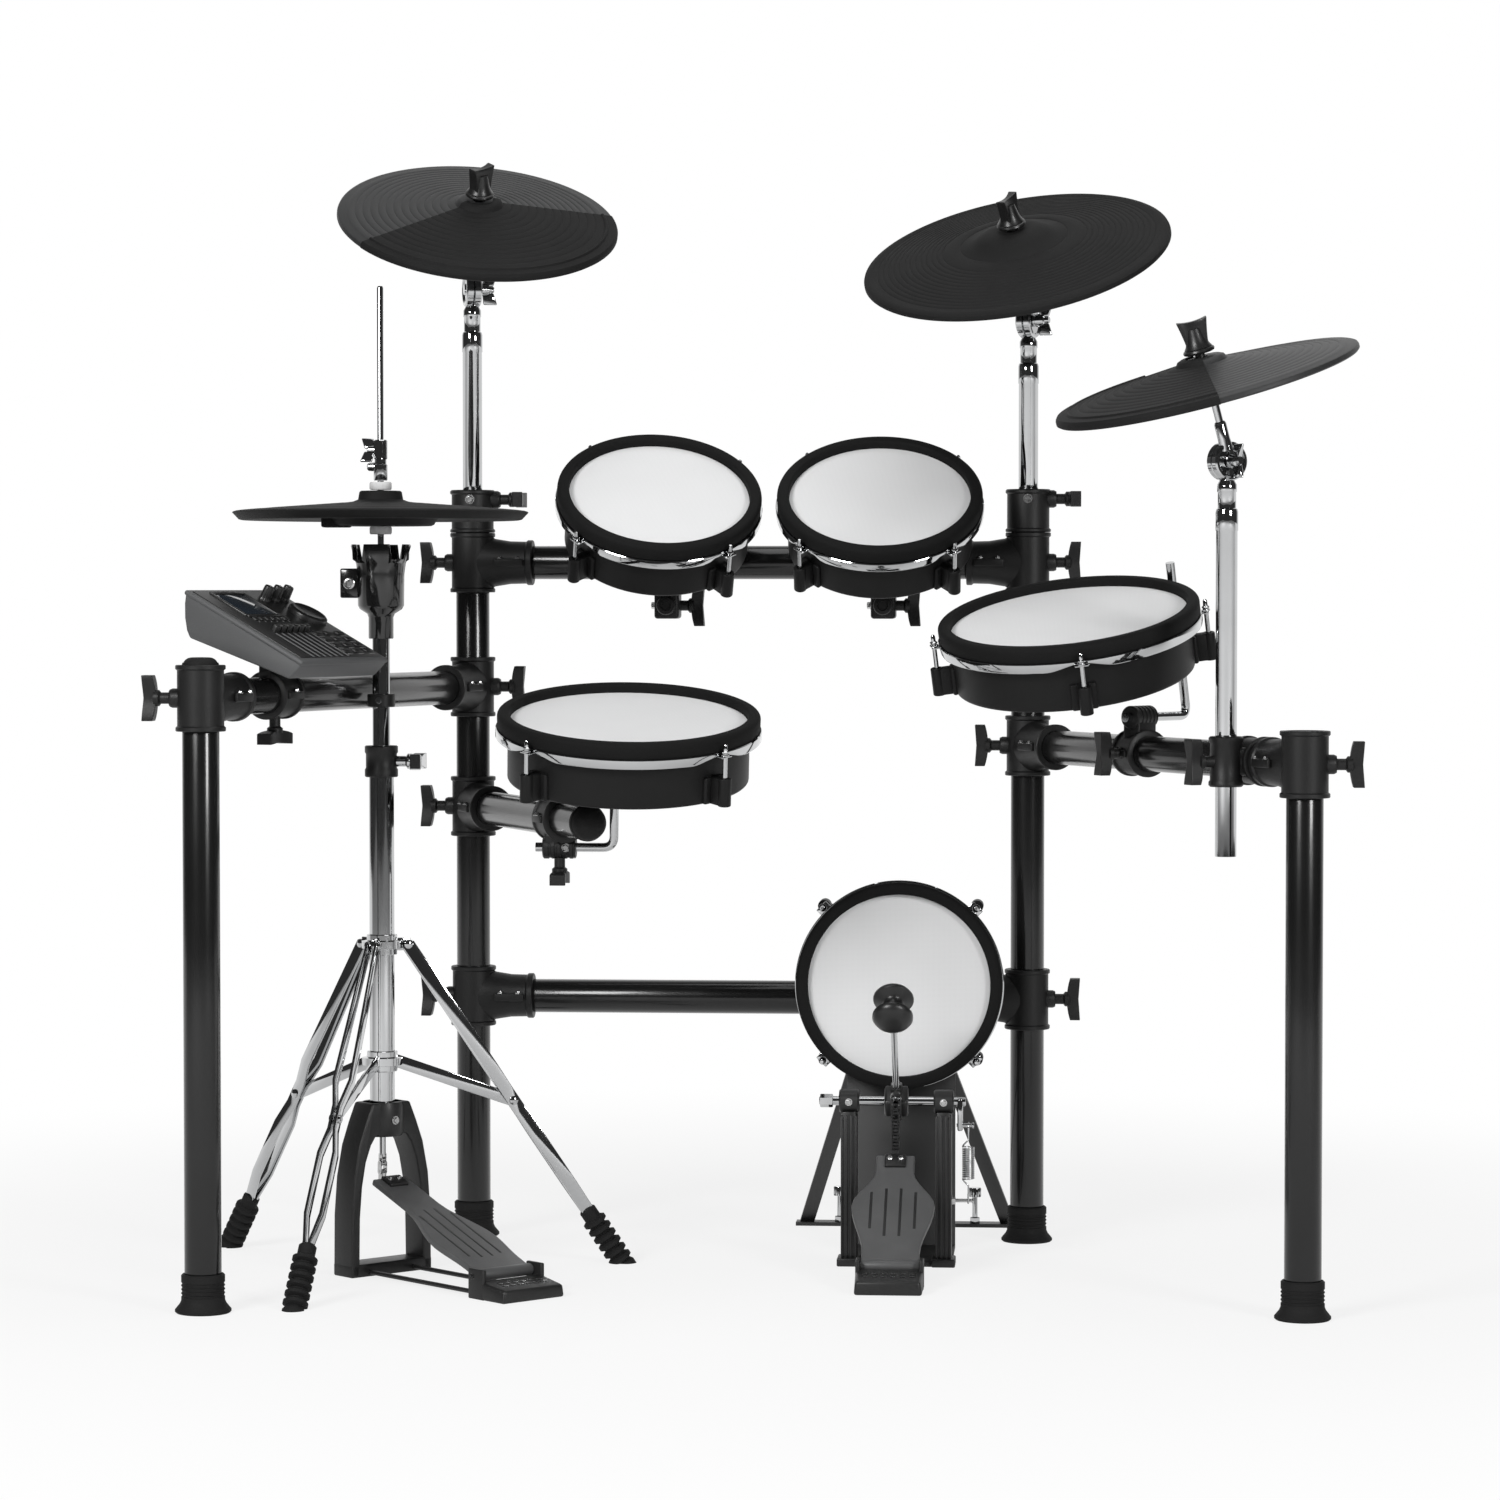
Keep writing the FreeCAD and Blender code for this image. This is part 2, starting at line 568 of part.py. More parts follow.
# Cymbal pads: each has a mast, a tilter with toothed discs on its top, and a pad that rocks on a felt ball.
cymbal_sizes = {
    "mast_wall": 1.5, "joint_drop": 58, "joint_od": 25, "joint_height": 24, "disc_od": 40,
    "disc_thickness": 9, "disc_gap": 0.1, "bolt_od": 8, "nut_hub_od": 15, "nut_length": 10,
    "wing_length": 34, "wing_width": 5, "wing_height": 13, "stem_od": 8, "sleeve_radius": 5.6,
    "nut_gap": 0.15, "pad_rise": 97, "seat_radius": 16, "seat_gap": 0.3, "knob_foot": 19, "knob_od": 33,
    "knob_waist_od": 24, "knob_waist": 10, "knob_height": 34, "tip_rise": 1,
}
cymbal = sizes("cymbal", cymbal_sizes)
right_mast_sizes = {
    "from_leg": 97, "offset": 36, "holder_od": 36, "holder_height": 52, "web": 29,
}
right_mast = sizes("right_mast", right_mast_sizes)


def cymbal_mast(name, foot_at, hinge, facing):
    """A telescoped mast up to the lower toothed disc, with the tilter's bolt and wing nut."""
    joint = hinge - UP * cymbal.joint_drop
    across = heading(facing).cross(UP)
    disc_in = hinge + across * (cymbal.disc_gap / 2)
    nut_at = hinge - across * (cymbal.disc_thickness + cymbal.nut_gap)
    lower = tube(mast.lower_od / 2, cymbal.mast_wall, (joint - foot_at).Length, stand(foot_at))
    sleeve = rod(cymbal.joint_od / 2, cymbal.joint_height, stand(joint))
    upper = rod(mast.upper_od / 2, cymbal.joint_drop - cymbal.disc_od / 4, stand(joint))
    disc = rod(cymbal.disc_od / 2, cymbal.disc_thickness, stand(disc_in, across))
    bolt = rod(cymbal.bolt_od / 2, (disc_in - nut_at).Length + cymbal.nut_length / 2,
               stand(disc_in, -across))
    hub = rod(cymbal.nut_hub_od / 2, cymbal.nut_length, stand(nut_at, -across))
    wings = block(cymbal.wing_length, cymbal.wing_width, cymbal.wing_height,
                  stand(nut_at - across * (cymbal.nut_length / 2), -across, UP))
    neck_room = rod(cymbal.disc_od / 2 + cymbal.disc_gap, cymbal.disc_od, stand(disc_in, -across))
    body = fuse(lower, cut(fuse(sleeve, upper), neck_room), disc, bolt, hub, wings)
    node(f"{name}_mast", body)


def tilter(name, hinge, tilt, facing):
    """The upper toothed disc with the stem, felt ball and knob that hold the pad; returns the pad's place."""
    axis = lean(tilt, facing)
    across = heading(facing).cross(UP)
    pivot = hinge + axis * cymbal.pad_rise
    disc_foot = hinge - across * (cymbal.disc_thickness + cymbal.disc_gap / 2)
    disc = cut(rod(cymbal.disc_od / 2, cymbal.disc_thickness, stand(disc_foot, across)),
               rod(cymbal.bolt_od / 2 + rack.fit_gap, cymbal.disc_thickness, stand(disc_foot, across)))
    disc_mid = hinge - across * (cymbal.disc_thickness / 2)
    stem_foot = disc_mid + axis * (cymbal.disc_od / 2 - cymbal.disc_thickness / 2)
    neck_top = disc_mid + axis * (cymbal.disc_od / 2 + cymbal.disc_thickness)
    neck = fuse(span(cymbal.stem_od / 2, stem_foot, neck_top), ball(cymbal.stem_od / 2, neck_top),
                span(cymbal.stem_od / 2, neck_top, pivot))
    knob = lathe([(0, 0), (cymbal.sleeve_radius, 0), (cymbal.sleeve_radius, cymbal.knob_foot),
                  (cymbal.knob_od / 2, cymbal.knob_foot),
                  (cymbal.knob_waist_od / 2, cymbal.knob_foot + cymbal.knob_waist),
                  (cymbal.knob_od / 2, cymbal.knob_foot + cymbal.knob_height),
                  (cymbal.stem_od / 2, cymbal.knob_foot + cymbal.knob_height),
                  (cymbal.stem_od / 2, cymbal.knob_foot + cymbal.knob_height + cymbal.tip_rise),
                  (0, cymbal.knob_foot + cymbal.knob_height + cymbal.tip_rise)], stand(pivot, axis))
    node(f"{name}_tilter", fuse(disc, neck, ball(cymbal.seat_radius, pivot), knob))
    return stand(pivot, axis, RIGHT)


def cymbal_pad(name, place, spec):
    """A bowed disc with a thick rim, a bell round its felt ball, and a sensor housing underneath."""
    edge = spec.od / 2
    body = lathe([(spec.hole_radius, spec.bell_height), (spec.bell_top_radius, spec.bell_height),
                  (spec.bell_radius, spec.bell_foot), (edge - spec.edge_round, spec.edge_top),
                  (edge, spec.edge_top - spec.edge_round), (edge, spec.edge_foot),
                  (edge - spec.rim_width, spec.edge_foot),
                  (spec.housing_radius, spec.housing_top), (spec.housing_radius, spec.housing_foot),
                  (spec.housing_bore, spec.housing_foot), (spec.housing_bore, 0), (spec.hole_radius, 0)],
                 place)
    node(f"{name}_pad", cut(body, ball(cymbal.seat_radius + cymbal.seat_gap, place.Base)))


# Every pad's own heights are taken from the middle of its felt ball.
pad_shared_sizes = {
    "hole_radius": 8.3, "housing_bore": 13, "edge_round": 3, "rim_width": 12, "housing_radius": 48,
    "housing_top": -9, "housing_foot": -15,
}


crash_left_sizes = {
    "od": 320, "hinge_rise": 250, "tilt": 27.7, "facing": 16.9, "foot_drop": 196, "bell_height": 14,
    "bell_top_radius": 20, "bell_radius": 27, "bell_foot": 8, "edge_top": -10, "edge_foot": -21,
}
crash_left = sizes("crash_left", {**pad_shared_sizes, **crash_left_sizes})
ride_sizes = {
    "od": 350, "hinge_rise": 212, "tilt": 27.1, "facing": -21, "foot_drop": 196, "bell_height": 15,
    "bell_top_radius": 26, "bell_radius": 48, "bell_foot": 4, "edge_top": -14, "edge_foot": -25,
}
ride = sizes("ride", {**pad_shared_sizes, **ride_sizes})
crash_right_sizes = {
    "od": 320, "hinge_rise": 309, "tilt": 17.5, "facing": -57.1, "foot_drop": 98, "bell_height": 14,
    "bell_top_radius": 20, "bell_radius": 27, "bell_foot": 8, "edge_top": -10, "edge_foot": -21,
}
crash_right = sizes("crash_right", {**pad_shared_sizes, **crash_right_sizes})
right_inside = right_way.cross(UP)
right_mast_bar = right_leg - right_way * right_mast.from_leg
right_mast_at = right_mast_bar + right_inside * right_mast.offset
for name, at, spec in (("crash_left", left_post + UP * post_top, crash_left),
                       ("ride", right_post + UP * post_top, ride),
                       ("crash_right", right_mast_at + UP * rack.right_bar_height, crash_right)):
    hinge_at = at + UP * spec.hinge_rise
    cymbal_mast(name, at - UP * spec.foot_drop, hinge_at, spec.facing)
    cymbal_pad(name, tilter(name, hinge_at, spec.tilt, spec.facing), spec)

# The right bar's own clamps: the floor tom's grip, and the holder that guides the right crash mast.
holder_bar = right_mast_bar + UP * rack.right_bar_height
holder_mast = right_mast_at + UP * rack.right_bar_height
holder_foot = holder_mast - UP * (right_mast.holder_height / 2)
holder = cut(fuse(rod(clamp.od / 2, clamp.sleeve_length,
                      stand(holder_bar - right_way * (clamp.sleeve_length / 2), right_way)),
                  rod(right_mast.holder_od / 2, right_mast.holder_height, stand(holder_foot)),
                  block(right_mast.offset, right_mast.web, right_mast.web,
                        stand((holder_bar + holder_mast) * 0.5 - UP * (right_mast.web / 2), UP,
                              right_inside))),
             rod(bore_radius, clamp.sleeve_length,
                 stand(holder_bar - right_way * (clamp.sleeve_length / 2), right_way)),
             rod(mast.lower_od / 2 + rack.fit_gap, right_mast.holder_height, stand(holder_foot)))
node("right_bar_grips", grip(floor_grip, right_way, floor_socket, socket_way), holder,
     t_knob(floor_grip + right_inside * (clamp.od / 2), right_inside),
     t_knob(holder_mast + right_inside * (right_mast.holder_od / 2), right_inside))


# Sound module: a wedge case that tilts on a fork over the left bar, with a dial, knobs and flat controls.
module_sizes = {
    "ahead": 12.8, "inside": 23.9, "rise": 74.4, "slope": 27.8, "facing": 69.5, "width": 180,
    "length": 159, "front": 8, "toe": 7, "toe_drop": 24, "heel": 27, "back": 27, "back_lean": 12,
    "back_drop": 43, "from_leg": 152, "pivot_rise": 36, "hub_od": 14, "hub_length": 30, "hub_rise": 18,
    "dial_od": 44, "dial_height": 7, "dial_down": -17, "dial_side": 64, "dial_round": 3, "knob_od": 13,
    "knob_skirt": 5, "knob_height": 17, "knob_top_od": 11, "knob_down": -54, "knob_side": 30, "knob_step": 20,
    "cap_length": 7, "cap_width": 9, "cap_height": 8, "cap_down": 15, "cap_side": -50, "cap_step": 12,
    "button_length": 7, "button_width": 15, "button_height": 2.5, "button_down": 22, "button_step": 13,
    "button_side": 26, "button_row": 23, "screen_length": 42, "screen_width": 58, "screen_height": 1.5,
    "screen_down": -43, "screen_side": -24,
}
module = sizes("module", module_sizes)
module_front = heading(module.facing)
module_side = UP.cross(module_front)
slope_angle = math.radians(module.slope)
module_down = module_front * math.cos(slope_angle) - UP * math.sin(slope_angle)
module_out = module_front * math.sin(slope_angle) + UP * math.cos(slope_angle)
left_inside = UP.cross(left_way)
module_bar = left_leg - left_way * module.from_leg + UP * rack.left_bar_height
module_at = module_bar + left_way * module.ahead + left_inside * module.inside + UP * module.rise
module_pivot = module_bar + UP * module.pivot_rise


def on_module(slope, side, rise=0.0):
    """A placement on the case's top: so far down its slope and to its player's right."""
    return stand(module_at + module_down * slope + module_side * side + module_out * rise, module_out,
                 module_down)


half = module.length / 2
case = plate([(-half, 0), (half, 0), (half, -module.front), (half - module.toe, -module.toe_drop),
              (module.heel - half, -module.back_drop), (module.back_lean - half, -module.back)], module.width,
             stand(module_at + module_side * (module.width / 2), -module_side, module_down))
hub_foot = module_pivot - module_side * (module.hub_length / 2)
case_hub = cut(fuse(rod(module.hub_od / 2, module.hub_length, stand(hub_foot, module_side)),
                    block(module.hub_length, module.hub_od, module.hub_rise,
                          stand(module_pivot, module_out, module_side))),
               rod(mount.pin_od / 2 + rack.fit_gap, module.hub_length, stand(hub_foot, module_side)))
node("module_case", fuse(case, case_hub))
ears, pin_hole, pin = fork(module_bar, UP, module_side, module.pivot_rise, module.hub_length, module.hub_od)
module_sleeve = stand(module_bar - left_way * (clamp.sleeve_length / 2), left_way)
node("module_bracket", cut(fuse(rod(clamp.od / 2, clamp.sleeve_length, module_sleeve), *ears),
                           rod(bore_radius, clamp.sleeve_length * 2,
                               stand(module_bar - left_way * clamp.sleeve_length, left_way)), pin_hole), pin,
     t_knob(module_bar - UP * (clamp.od / 2), -UP, left_way))
controls = [block(module.screen_length, module.screen_width, module.screen_height,
                  on_module(module.screen_down, module.screen_side))]
for step in range(6):
    controls.append(block(module.cap_length, module.cap_width, module.cap_height,
                          on_module(module.cap_down, module.cap_side + module.cap_step * step)))
for row in range(4):
    for column in range(3):
        controls.append(block(module.button_length, module.button_width, module.button_height,
                              on_module(module.button_down + module.button_step * row,
                                        module.button_side + module.button_row * column)))
node("module_controls", *controls)
node("module_dial", lathe([(0, 0), (module.dial_od / 2, 0),
                           (module.dial_od / 2, module.dial_height - module.dial_round),
                           (module.dial_od / 2 - module.dial_round, module.dial_height),
                           (0, module.dial_height)],
                          on_module(module.dial_down, module.dial_side, rack.fit_gap)))
for step in range(3):
    node(f"module_knob_{step + 1}",
         lathe([(0, 0), (module.knob_od / 2, 0), (module.knob_od / 2, module.knob_skirt),
                (module.knob_top_od / 2, module.knob_height), (0, module.knob_height)],
               on_module(module.knob_down, module.knob_side + module.knob_step * step, rack.fit_gap)))


# Hi-hat stand: chrome tubes on a braced tripod, a cast pedal frame at the foot, a controller cup on top.
hihat_sizes = {
    "x": -61.05, "y": -288.3, "lower_od": 27, "lower_wall": 2, "lower_foot": 160, "lower_top": 556,
    "upper_od": 19, "upper_wall": 2, "upper_foot": 420, "upper_top": 700, "clamp_od": 36, "clamp_foot": 540,
    "clamp_top": 574, "lock_od": 30, "lock_foot": 616, "lock_height": 14, "rod_od": 7, "rod_foot": 128,
    "rod_top": 1071, "pad_od": 320, "pad_z": 826, "pedal_heading": 45.6, "foot_turn": 19,
}
hihat = sizes("hihat", hihat_sizes)
tripod_sizes = {
    "collar_od": 44, "collar_height": 22, "upper": 358, "lower": 231, "pivot_radius": 28,
    "foot_radius": 235, "foot_z": 50, "strut_radius": 145, "bar_width": 14, "bar_thickness": 3,
    "bar_spread": 11, "shoe_od": 27, "shoe_length": 70, "shoe_overlap": 14, "floor_depth": 40, "lug": 6,
    "flat": 9, "strut": 3,
}
tripod = sizes("tripod", tripod_sizes)
pole = left_post + V(hihat.x, hihat.y, 0)
stand_solids = []
stand_solids.append(tube(hihat.lower_od / 2, hihat.lower_wall, hihat.lower_top - hihat.lower_foot,
                         stand(pole + UP * hihat.lower_foot)))
stand_solids.append(tube(hihat.upper_od / 2, hihat.upper_wall, hihat.upper_top - hihat.upper_foot,
                         stand(pole + UP * hihat.upper_foot)))
upper_bore = hihat.upper_od / 2 + rack.fit_gap
lower_bore = hihat.lower_od / 2 + rack.fit_gap
height_clamp = lathe([(lower_bore, hihat.clamp_foot), (hihat.clamp_od / 2, hihat.clamp_foot),
                      (hihat.clamp_od / 2, hihat.clamp_top), (upper_bore, hihat.clamp_top),
                      (upper_bore, hihat.lower_top), (lower_bore, hihat.lower_top)], stand(pole))
stand_solids.append(height_clamp)
clamp_mid = pole + UP * ((hihat.clamp_foot + hihat.clamp_top) / 2)
stand_solids.append(t_knob(clamp_mid + RIGHT * (hihat.clamp_od / 2), RIGHT, BACK))
stand_solids.append(tube(hihat.lock_od / 2, (hihat.lock_od - hihat.upper_od) / 2 - rack.fit_gap,
                         hihat.lock_height,
                         stand(pole + UP * hihat.lock_foot)))


def leg_strip(place, knee, length, sign):
    """One bent strip of a leg: from its lug it bows out to the strut, and out again to the shoe."""
    rows = [(0, tripod.lug / 2), (tripod.flat, tripod.lug / 2), (knee / 2, tripod.bar_spread),
            (knee - tripod.flat, tripod.strut / 2), (knee + tripod.flat, tripod.strut / 2),
            ((knee + length) / 2, tripod.bar_spread), (length - tripod.shoe_overlap, tripod.strut / 2),
            (length, tripod.strut / 2)]
    inner = [(x, y * sign) for x, y in rows]
    outer = [(x, (y + tripod.bar_thickness) * sign) for x, y in rows]
    return plate(inner + outer[::-1], tripod.bar_width, place)


upper_ring = [rod(tripod.collar_od / 2, tripod.collar_height,
                  stand(pole + UP * (tripod.upper - tripod.collar_height / 2)))]
lower_ring = [rod(tripod.collar_od / 2, tripod.collar_height,
                  stand(pole + UP * (tripod.lower - tripod.collar_height / 2)))]
shoes = []
for step in range(3):
    angle = math.radians(hihat.foot_turn + 120.0 * step)
    out = V(math.cos(angle), math.sin(angle), 0)
    side = UP.cross(out)
    top = pole + out * tripod.pivot_radius + UP * tripod.upper
    low = pole + out * tripod.foot_radius + UP * tripod.foot_z
    down = (low - top).normalize()
    knee_share = (tripod.strut_radius - tripod.pivot_radius) / (tripod.foot_radius - tripod.pivot_radius)
    knee_at = top + (low - top) * knee_share
    leg_length = (low - top).Length
    edge = side.cross(down)
    strip_place = stand(top + edge * (tripod.bar_width / 2), -edge, down)
    for sign in (-1, 1):
        stand_solids.append(leg_strip(strip_place, leg_length * knee_share, leg_length, sign))
    lug_foot = pole + out * (tripod.pivot_radius / 2) + UP * (tripod.upper - tripod.bar_width / 2)
    upper_ring.append(block(tripod.pivot_radius, tripod.lug, tripod.bar_width, stand(lug_foot, UP, out)))
    root = pole + UP * tripod.lower + out * (tripod.collar_od / 4)
    lower_ring.append(block(tripod.bar_width, tripod.strut, (knee_at - root).Length,
                            stand(root, knee_at - root, (knee_at - root).cross(side))))
    shoe_top = low - down * tripod.shoe_overlap
    slot = block(tripod.bar_width, tripod.strut + tripod.bar_thickness * 2, tripod.shoe_overlap,
                 stand(shoe_top, down, edge))
    floor_cut = block(tripod.shoe_length * 2, tripod.shoe_length * 2, tripod.floor_depth,
                      stand(low - UP * (tripod.foot_z + tripod.floor_depth)))
    shoes.append(cut(rod(tripod.shoe_od / 2, tripod.shoe_length + tripod.shoe_overlap,
                         stand(shoe_top, down)),
                     slot, floor_cut))
pole_hole = rod(lower_bore, hihat.lower_top - hihat.lower_foot, stand(pole + UP * hihat.lower_foot))
stand_solids.append(cut(fuse(*upper_ring), pole_hole))
pole_hole = rod(lower_bore, hihat.lower_top - hihat.lower_foot, stand(pole + UP * hihat.lower_foot))
stand_solids.append(cut(fuse(*lower_ring), pole_hole))
node("tripod_feet", *shoes)

# The hi-hat's pedal: a cast frame under the tubes, a heel plate, two wires, a hinged footboard and a chain.
pedal_sizes = {
    "casting_od": 46, "casting_foot": 150, "casting_top": 187, "leg_top_half": 17, "leg_foot_half": 43,
    "leg_width": 34, "leg_thickness": 11, "base_height": 14, "heel_length": 42, "heel_height": 20,
    "heel_gap": 10, "hinge_reach": 212, "hinge_z": 24, "pin_od": 7, "barrel_od": 13, "ear": 5,
    "ear_length": 16, "ear_height": 32, "ear_gap": 0.3, "wire_od": 5, "wire_half": 30, "wire_rise": 5,
    "rest_angle": 21, "board_length": 216, "board_thickness": 7, "heel_half": 36, "heel_run": 20,
    "wide_half": 41, "wide_at": 70, "neck_half": 22, "neck_at": 150, "link_count": 3, "link_gap": 0.2,
    "link_width": 9, "link_thickness": 3, "link_pin_od": 4,
}
pedal = sizes("pedal", pedal_sizes)
pedal_way = heading(hihat.pedal_heading)
pedal_side = UP.cross(pedal_way)


def footboard(hinge, way, side, spec):
    """A contoured board that rises from its hinge barrel towards its toe, bored for the pin."""
    angle = math.radians(spec.rest_angle)
    rising = way * -math.cos(angle) + UP * math.sin(angle)
    normal = rising.cross(-side)
    half_plan = [(0, spec.heel_half), (spec.heel_run, spec.heel_half), (spec.wide_at, spec.wide_half),
                 (spec.neck_at, spec.neck_half),
                 (spec.board_length, spec.neck_half)]
    plan = half_plan + [(x, -y) for x, y in half_plan[::-1]]
    board = plate(plan, spec.board_thickness,
                  stand(hinge - normal * (spec.board_thickness / 2), normal, rising))
    barrel_foot = stand(hinge - side * spec.heel_half, side)
    barrel = rod(spec.barrel_od / 2, spec.heel_half * 2, barrel_foot)
    return cut(fuse(board, barrel), rod(spec.pin_od / 2 + rack.fit_gap, spec.heel_half * 2, barrel_foot))


def heel_plate(hinge, way, side, spec):
    """The block under the heel, with two ears beside the board and the hinge pin through them."""
    ear_out = spec.heel_half + spec.ear_gap + spec.ear / 2
    ground = V(hinge.x, hinge.y, 0)
    heel_at = ground + way * (spec.heel_gap + spec.heel_length / 2)
    width = (ear_out + spec.ear / 2) * 2
    pieces = [block(spec.heel_length, width, spec.heel_height, stand(heel_at, UP, way))]
    for sign in (-1, 1):
        ear_at = ground + side * (sign * ear_out) + way * (spec.heel_gap / 2)
        pieces.append(block(spec.ear_length + spec.heel_gap, spec.ear, spec.ear_height,
                            stand(ear_at, UP, way)))
    pin = rod(spec.pin_od / 2, width, stand(hinge - side * (width / 2), side))
    pin_hole = rod(spec.pin_od / 2, width, stand(hinge - side * (width / 2), side))
    return [cut(fuse(*pieces), pin_hole), pin]


def chain(start, end, side, spec, count):
    """Roller links in a row, wide and narrow in turn, each with a pin across its end."""
    step = (end - start) * (1.0 / count)
    links = []
    for index in range(int(count)):
        width = spec.link_width if index % 2 else spec.link_width - spec.link_thickness
        links.append(fuse(block(width, spec.link_thickness, step.Length,
                                stand(start + step * index, step, side)),
                          span(spec.link_pin_od / 2,
                               start + step * (index + 0.5) - side * (spec.link_width / 2),
                               start + step * (index + 0.5) + side * (spec.link_width / 2))))
    return links


def frame_leg(sign):
    """One leg of the A-shaped frame, from the floor to the casting."""
    foot_half = pedal.leg_foot_half * sign
    top_half = pedal.leg_top_half * sign
    thick = pedal.leg_thickness * sign
    outline_points = [(foot_half, 0), (foot_half + thick, 0),
                      (top_half + thick, pedal.casting_top - pedal.base_height),
                      (top_half, pedal.casting_top - pedal.base_height)]
    return plate(outline_points, pedal.leg_width,
                 stand(pole - pedal_way * (pedal.leg_width / 2), pedal_way, pedal_side))


base_width = (pedal.leg_foot_half + pedal.leg_thickness) * 2
casting = fuse(rod(pedal.casting_od / 2, pedal.casting_top - pedal.casting_foot,
                   stand(pole + UP * pedal.casting_foot)),
               frame_leg(-1), frame_leg(1),
               block(pedal.leg_width, base_width, pedal.base_height, stand(pole, UP, pedal_way)))
casting = cut(casting, rod(lower_bore, pedal.casting_top - hihat.lower_foot,
                           stand(pole + UP * hihat.lower_foot)),
              rod(hihat.rod_od, pedal.casting_top - pedal.base_height, stand(pole + UP * pedal.base_height)))
pedal_hinge = pole + pedal_way * pedal.hinge_reach + UP * pedal.hinge_z
wire_length = pedal.hinge_reach + pedal.heel_gap - pedal.leg_width / 2
wire_foot = pole + pedal_way * (pedal.leg_width / 2) + UP * pedal.wire_rise
wires = [rod(pedal.wire_od / 2, wire_length,
             stand(wire_foot + pedal_side * (sign * pedal.wire_half), pedal_way)) for sign in (-1, 1)]
node("hihat_frame", casting, *heel_plate(pedal_hinge, pedal_way, pedal_side, pedal), *wires)
node("hihat_footboard", footboard(pedal_hinge, pedal_way, pedal_side, pedal))
toe_rise = math.radians(pedal.rest_angle)
toe = pedal_hinge + (UP * math.sin(toe_rise) - pedal_way * math.cos(toe_rise)) * pedal.board_length
chain_top = pole + UP * (hihat.rod_foot - pedal.link_gap)
node("hihat_chain", *chain(toe - pedal_way * pedal.link_width, chain_top, pedal_side, pedal,
                           pedal.link_count))

# The pull rod with its clutch, the pad that it carries, and the controller cup that guides it.
cup_sizes = {
    "foot": 690, "neck_od": 27, "neck": 712, "od": 58, "shoulder": 728, "top": 772, "rim_od": 66,
    "rim": 792, "jack_depth": 16, "jack_width": 22, "jack_height": 32, "jack_rise": 734, "clutch_od": 15,
    "clutch_foot": 850, "clutch_top": 905, "collar_od": 26, "collar_height": 12, "wing_length": 34,
    "wing_width": 5, "wing_height": 16, "wing_rise": 885,
}
cup = sizes("cup", cup_sizes)
pad_sizes = {
    "edge": 4, "edge_top": 2, "rim_width": 8, "plate_foot": -4, "housing_radius": 62, "housing_foot": -14,
    "bell_radius": 34, "bell_foot": 12, "bell_top_radius": 23, "bell_top": 24,
}
pad = sizes("hihat_pad", pad_sizes)
guide_bore = hihat.rod_od / 2 + rack.fit_gap
node("hihat_stand", *stand_solids,
     fuse(lathe([(upper_bore, cup.foot), (cup.neck_od / 2, cup.foot), (cup.neck_od / 2, cup.neck),
                 (cup.od / 2, cup.shoulder), (cup.od / 2, cup.top), (cup.rim_od / 2, cup.rim),
                 (guide_bore, cup.rim),
                 (guide_bore, hihat.upper_top), (upper_bore, hihat.upper_top)], stand(pole)),
          block(cup.jack_depth, cup.jack_width, cup.jack_height,
                stand(pole - RIGHT * (cup.od / 2 + cup.jack_depth / 4) + UP * cup.jack_rise))))
wing_at = pole + UP * cup.wing_rise
node("hihat_rod",
     fuse(rod(hihat.rod_od / 2, hihat.rod_top - hihat.rod_foot, stand(pole + UP * hihat.rod_foot)),
          rod(cup.clutch_od / 2, cup.clutch_top - cup.clutch_foot, stand(pole + UP * cup.clutch_foot)),
          rod(cup.collar_od / 2, cup.collar_height, stand(pole + UP * (hihat.pad_z + pad.bell_top))),
          block(cup.wing_length, cup.wing_width, cup.wing_height,
                stand(wing_at - RIGHT * (cup.wing_length / 2)))))
edge_radius = hihat.pad_od / 2
node("hihat_pad",
     lathe([(guide_bore, pad.housing_foot), (pad.housing_radius, pad.housing_foot),
            (pad.housing_radius, pad.plate_foot),
            (edge_radius - pad.rim_width, pad.plate_foot), (edge_radius, 0),
            (edge_radius - pad.edge, pad.edge_top),
            (pad.bell_radius, pad.bell_foot), (pad.bell_top_radius, pad.bell_top),
            (guide_bore, pad.bell_top)],
           stand(pole + UP * hihat.pad_z)))


# Kick: an eight-inch pad on its own folded tower, braced by two stays to a floor bar with two spur bolts.
kick_sizes = {
    "od": 230, "x": 177, "y": -141.7, "z": 303, "lug_turn": 45,
}
kick = sizes("kick", kick_sizes)
tower_sizes = {
    "width": 122, "plate": 6, "height": 300, "base_height": 4, "base_front": -170, "stay_width": 16,
    "stay_thickness": 4, "stay_half": 52, "stay_top": 205, "bar_half": 118, "bar_y": 114, "bar_width": 24,
    "spur_half": 79, "spur_od": 6, "spur_height": 45, "spur_head_od": 14, "spur_head": 10,
}
tower = sizes("tower", tower_sizes)
kick_foot = rear_mid + RIGHT * kick.x
kick_at = kick_foot + BACK * kick.y + UP * kick.z
drum_pad("kick", stand(kick_at, -BACK, RIGHT), kick.od, kick.lug_turn, [], [])
plate_mid = kick_foot + BACK * (kick.y + drum_depth + tower.plate / 2)
base_length = kick.y + drum_depth - tower.base_front + tower.plate
floor_bar = kick_foot + BACK * tower.bar_y
tower_pieces = [
    block(tower.width, tower.plate, tower.height, stand(plate_mid)),
    block(tower.width, base_length, tower.base_height,
          stand(kick_foot + BACK * (tower.base_front + base_length / 2))),
    block(tower.bar_half * 2 + tower.bar_width, tower.bar_width, tower.base_height, stand(floor_bar))]
spurs, spur_holes = [], []
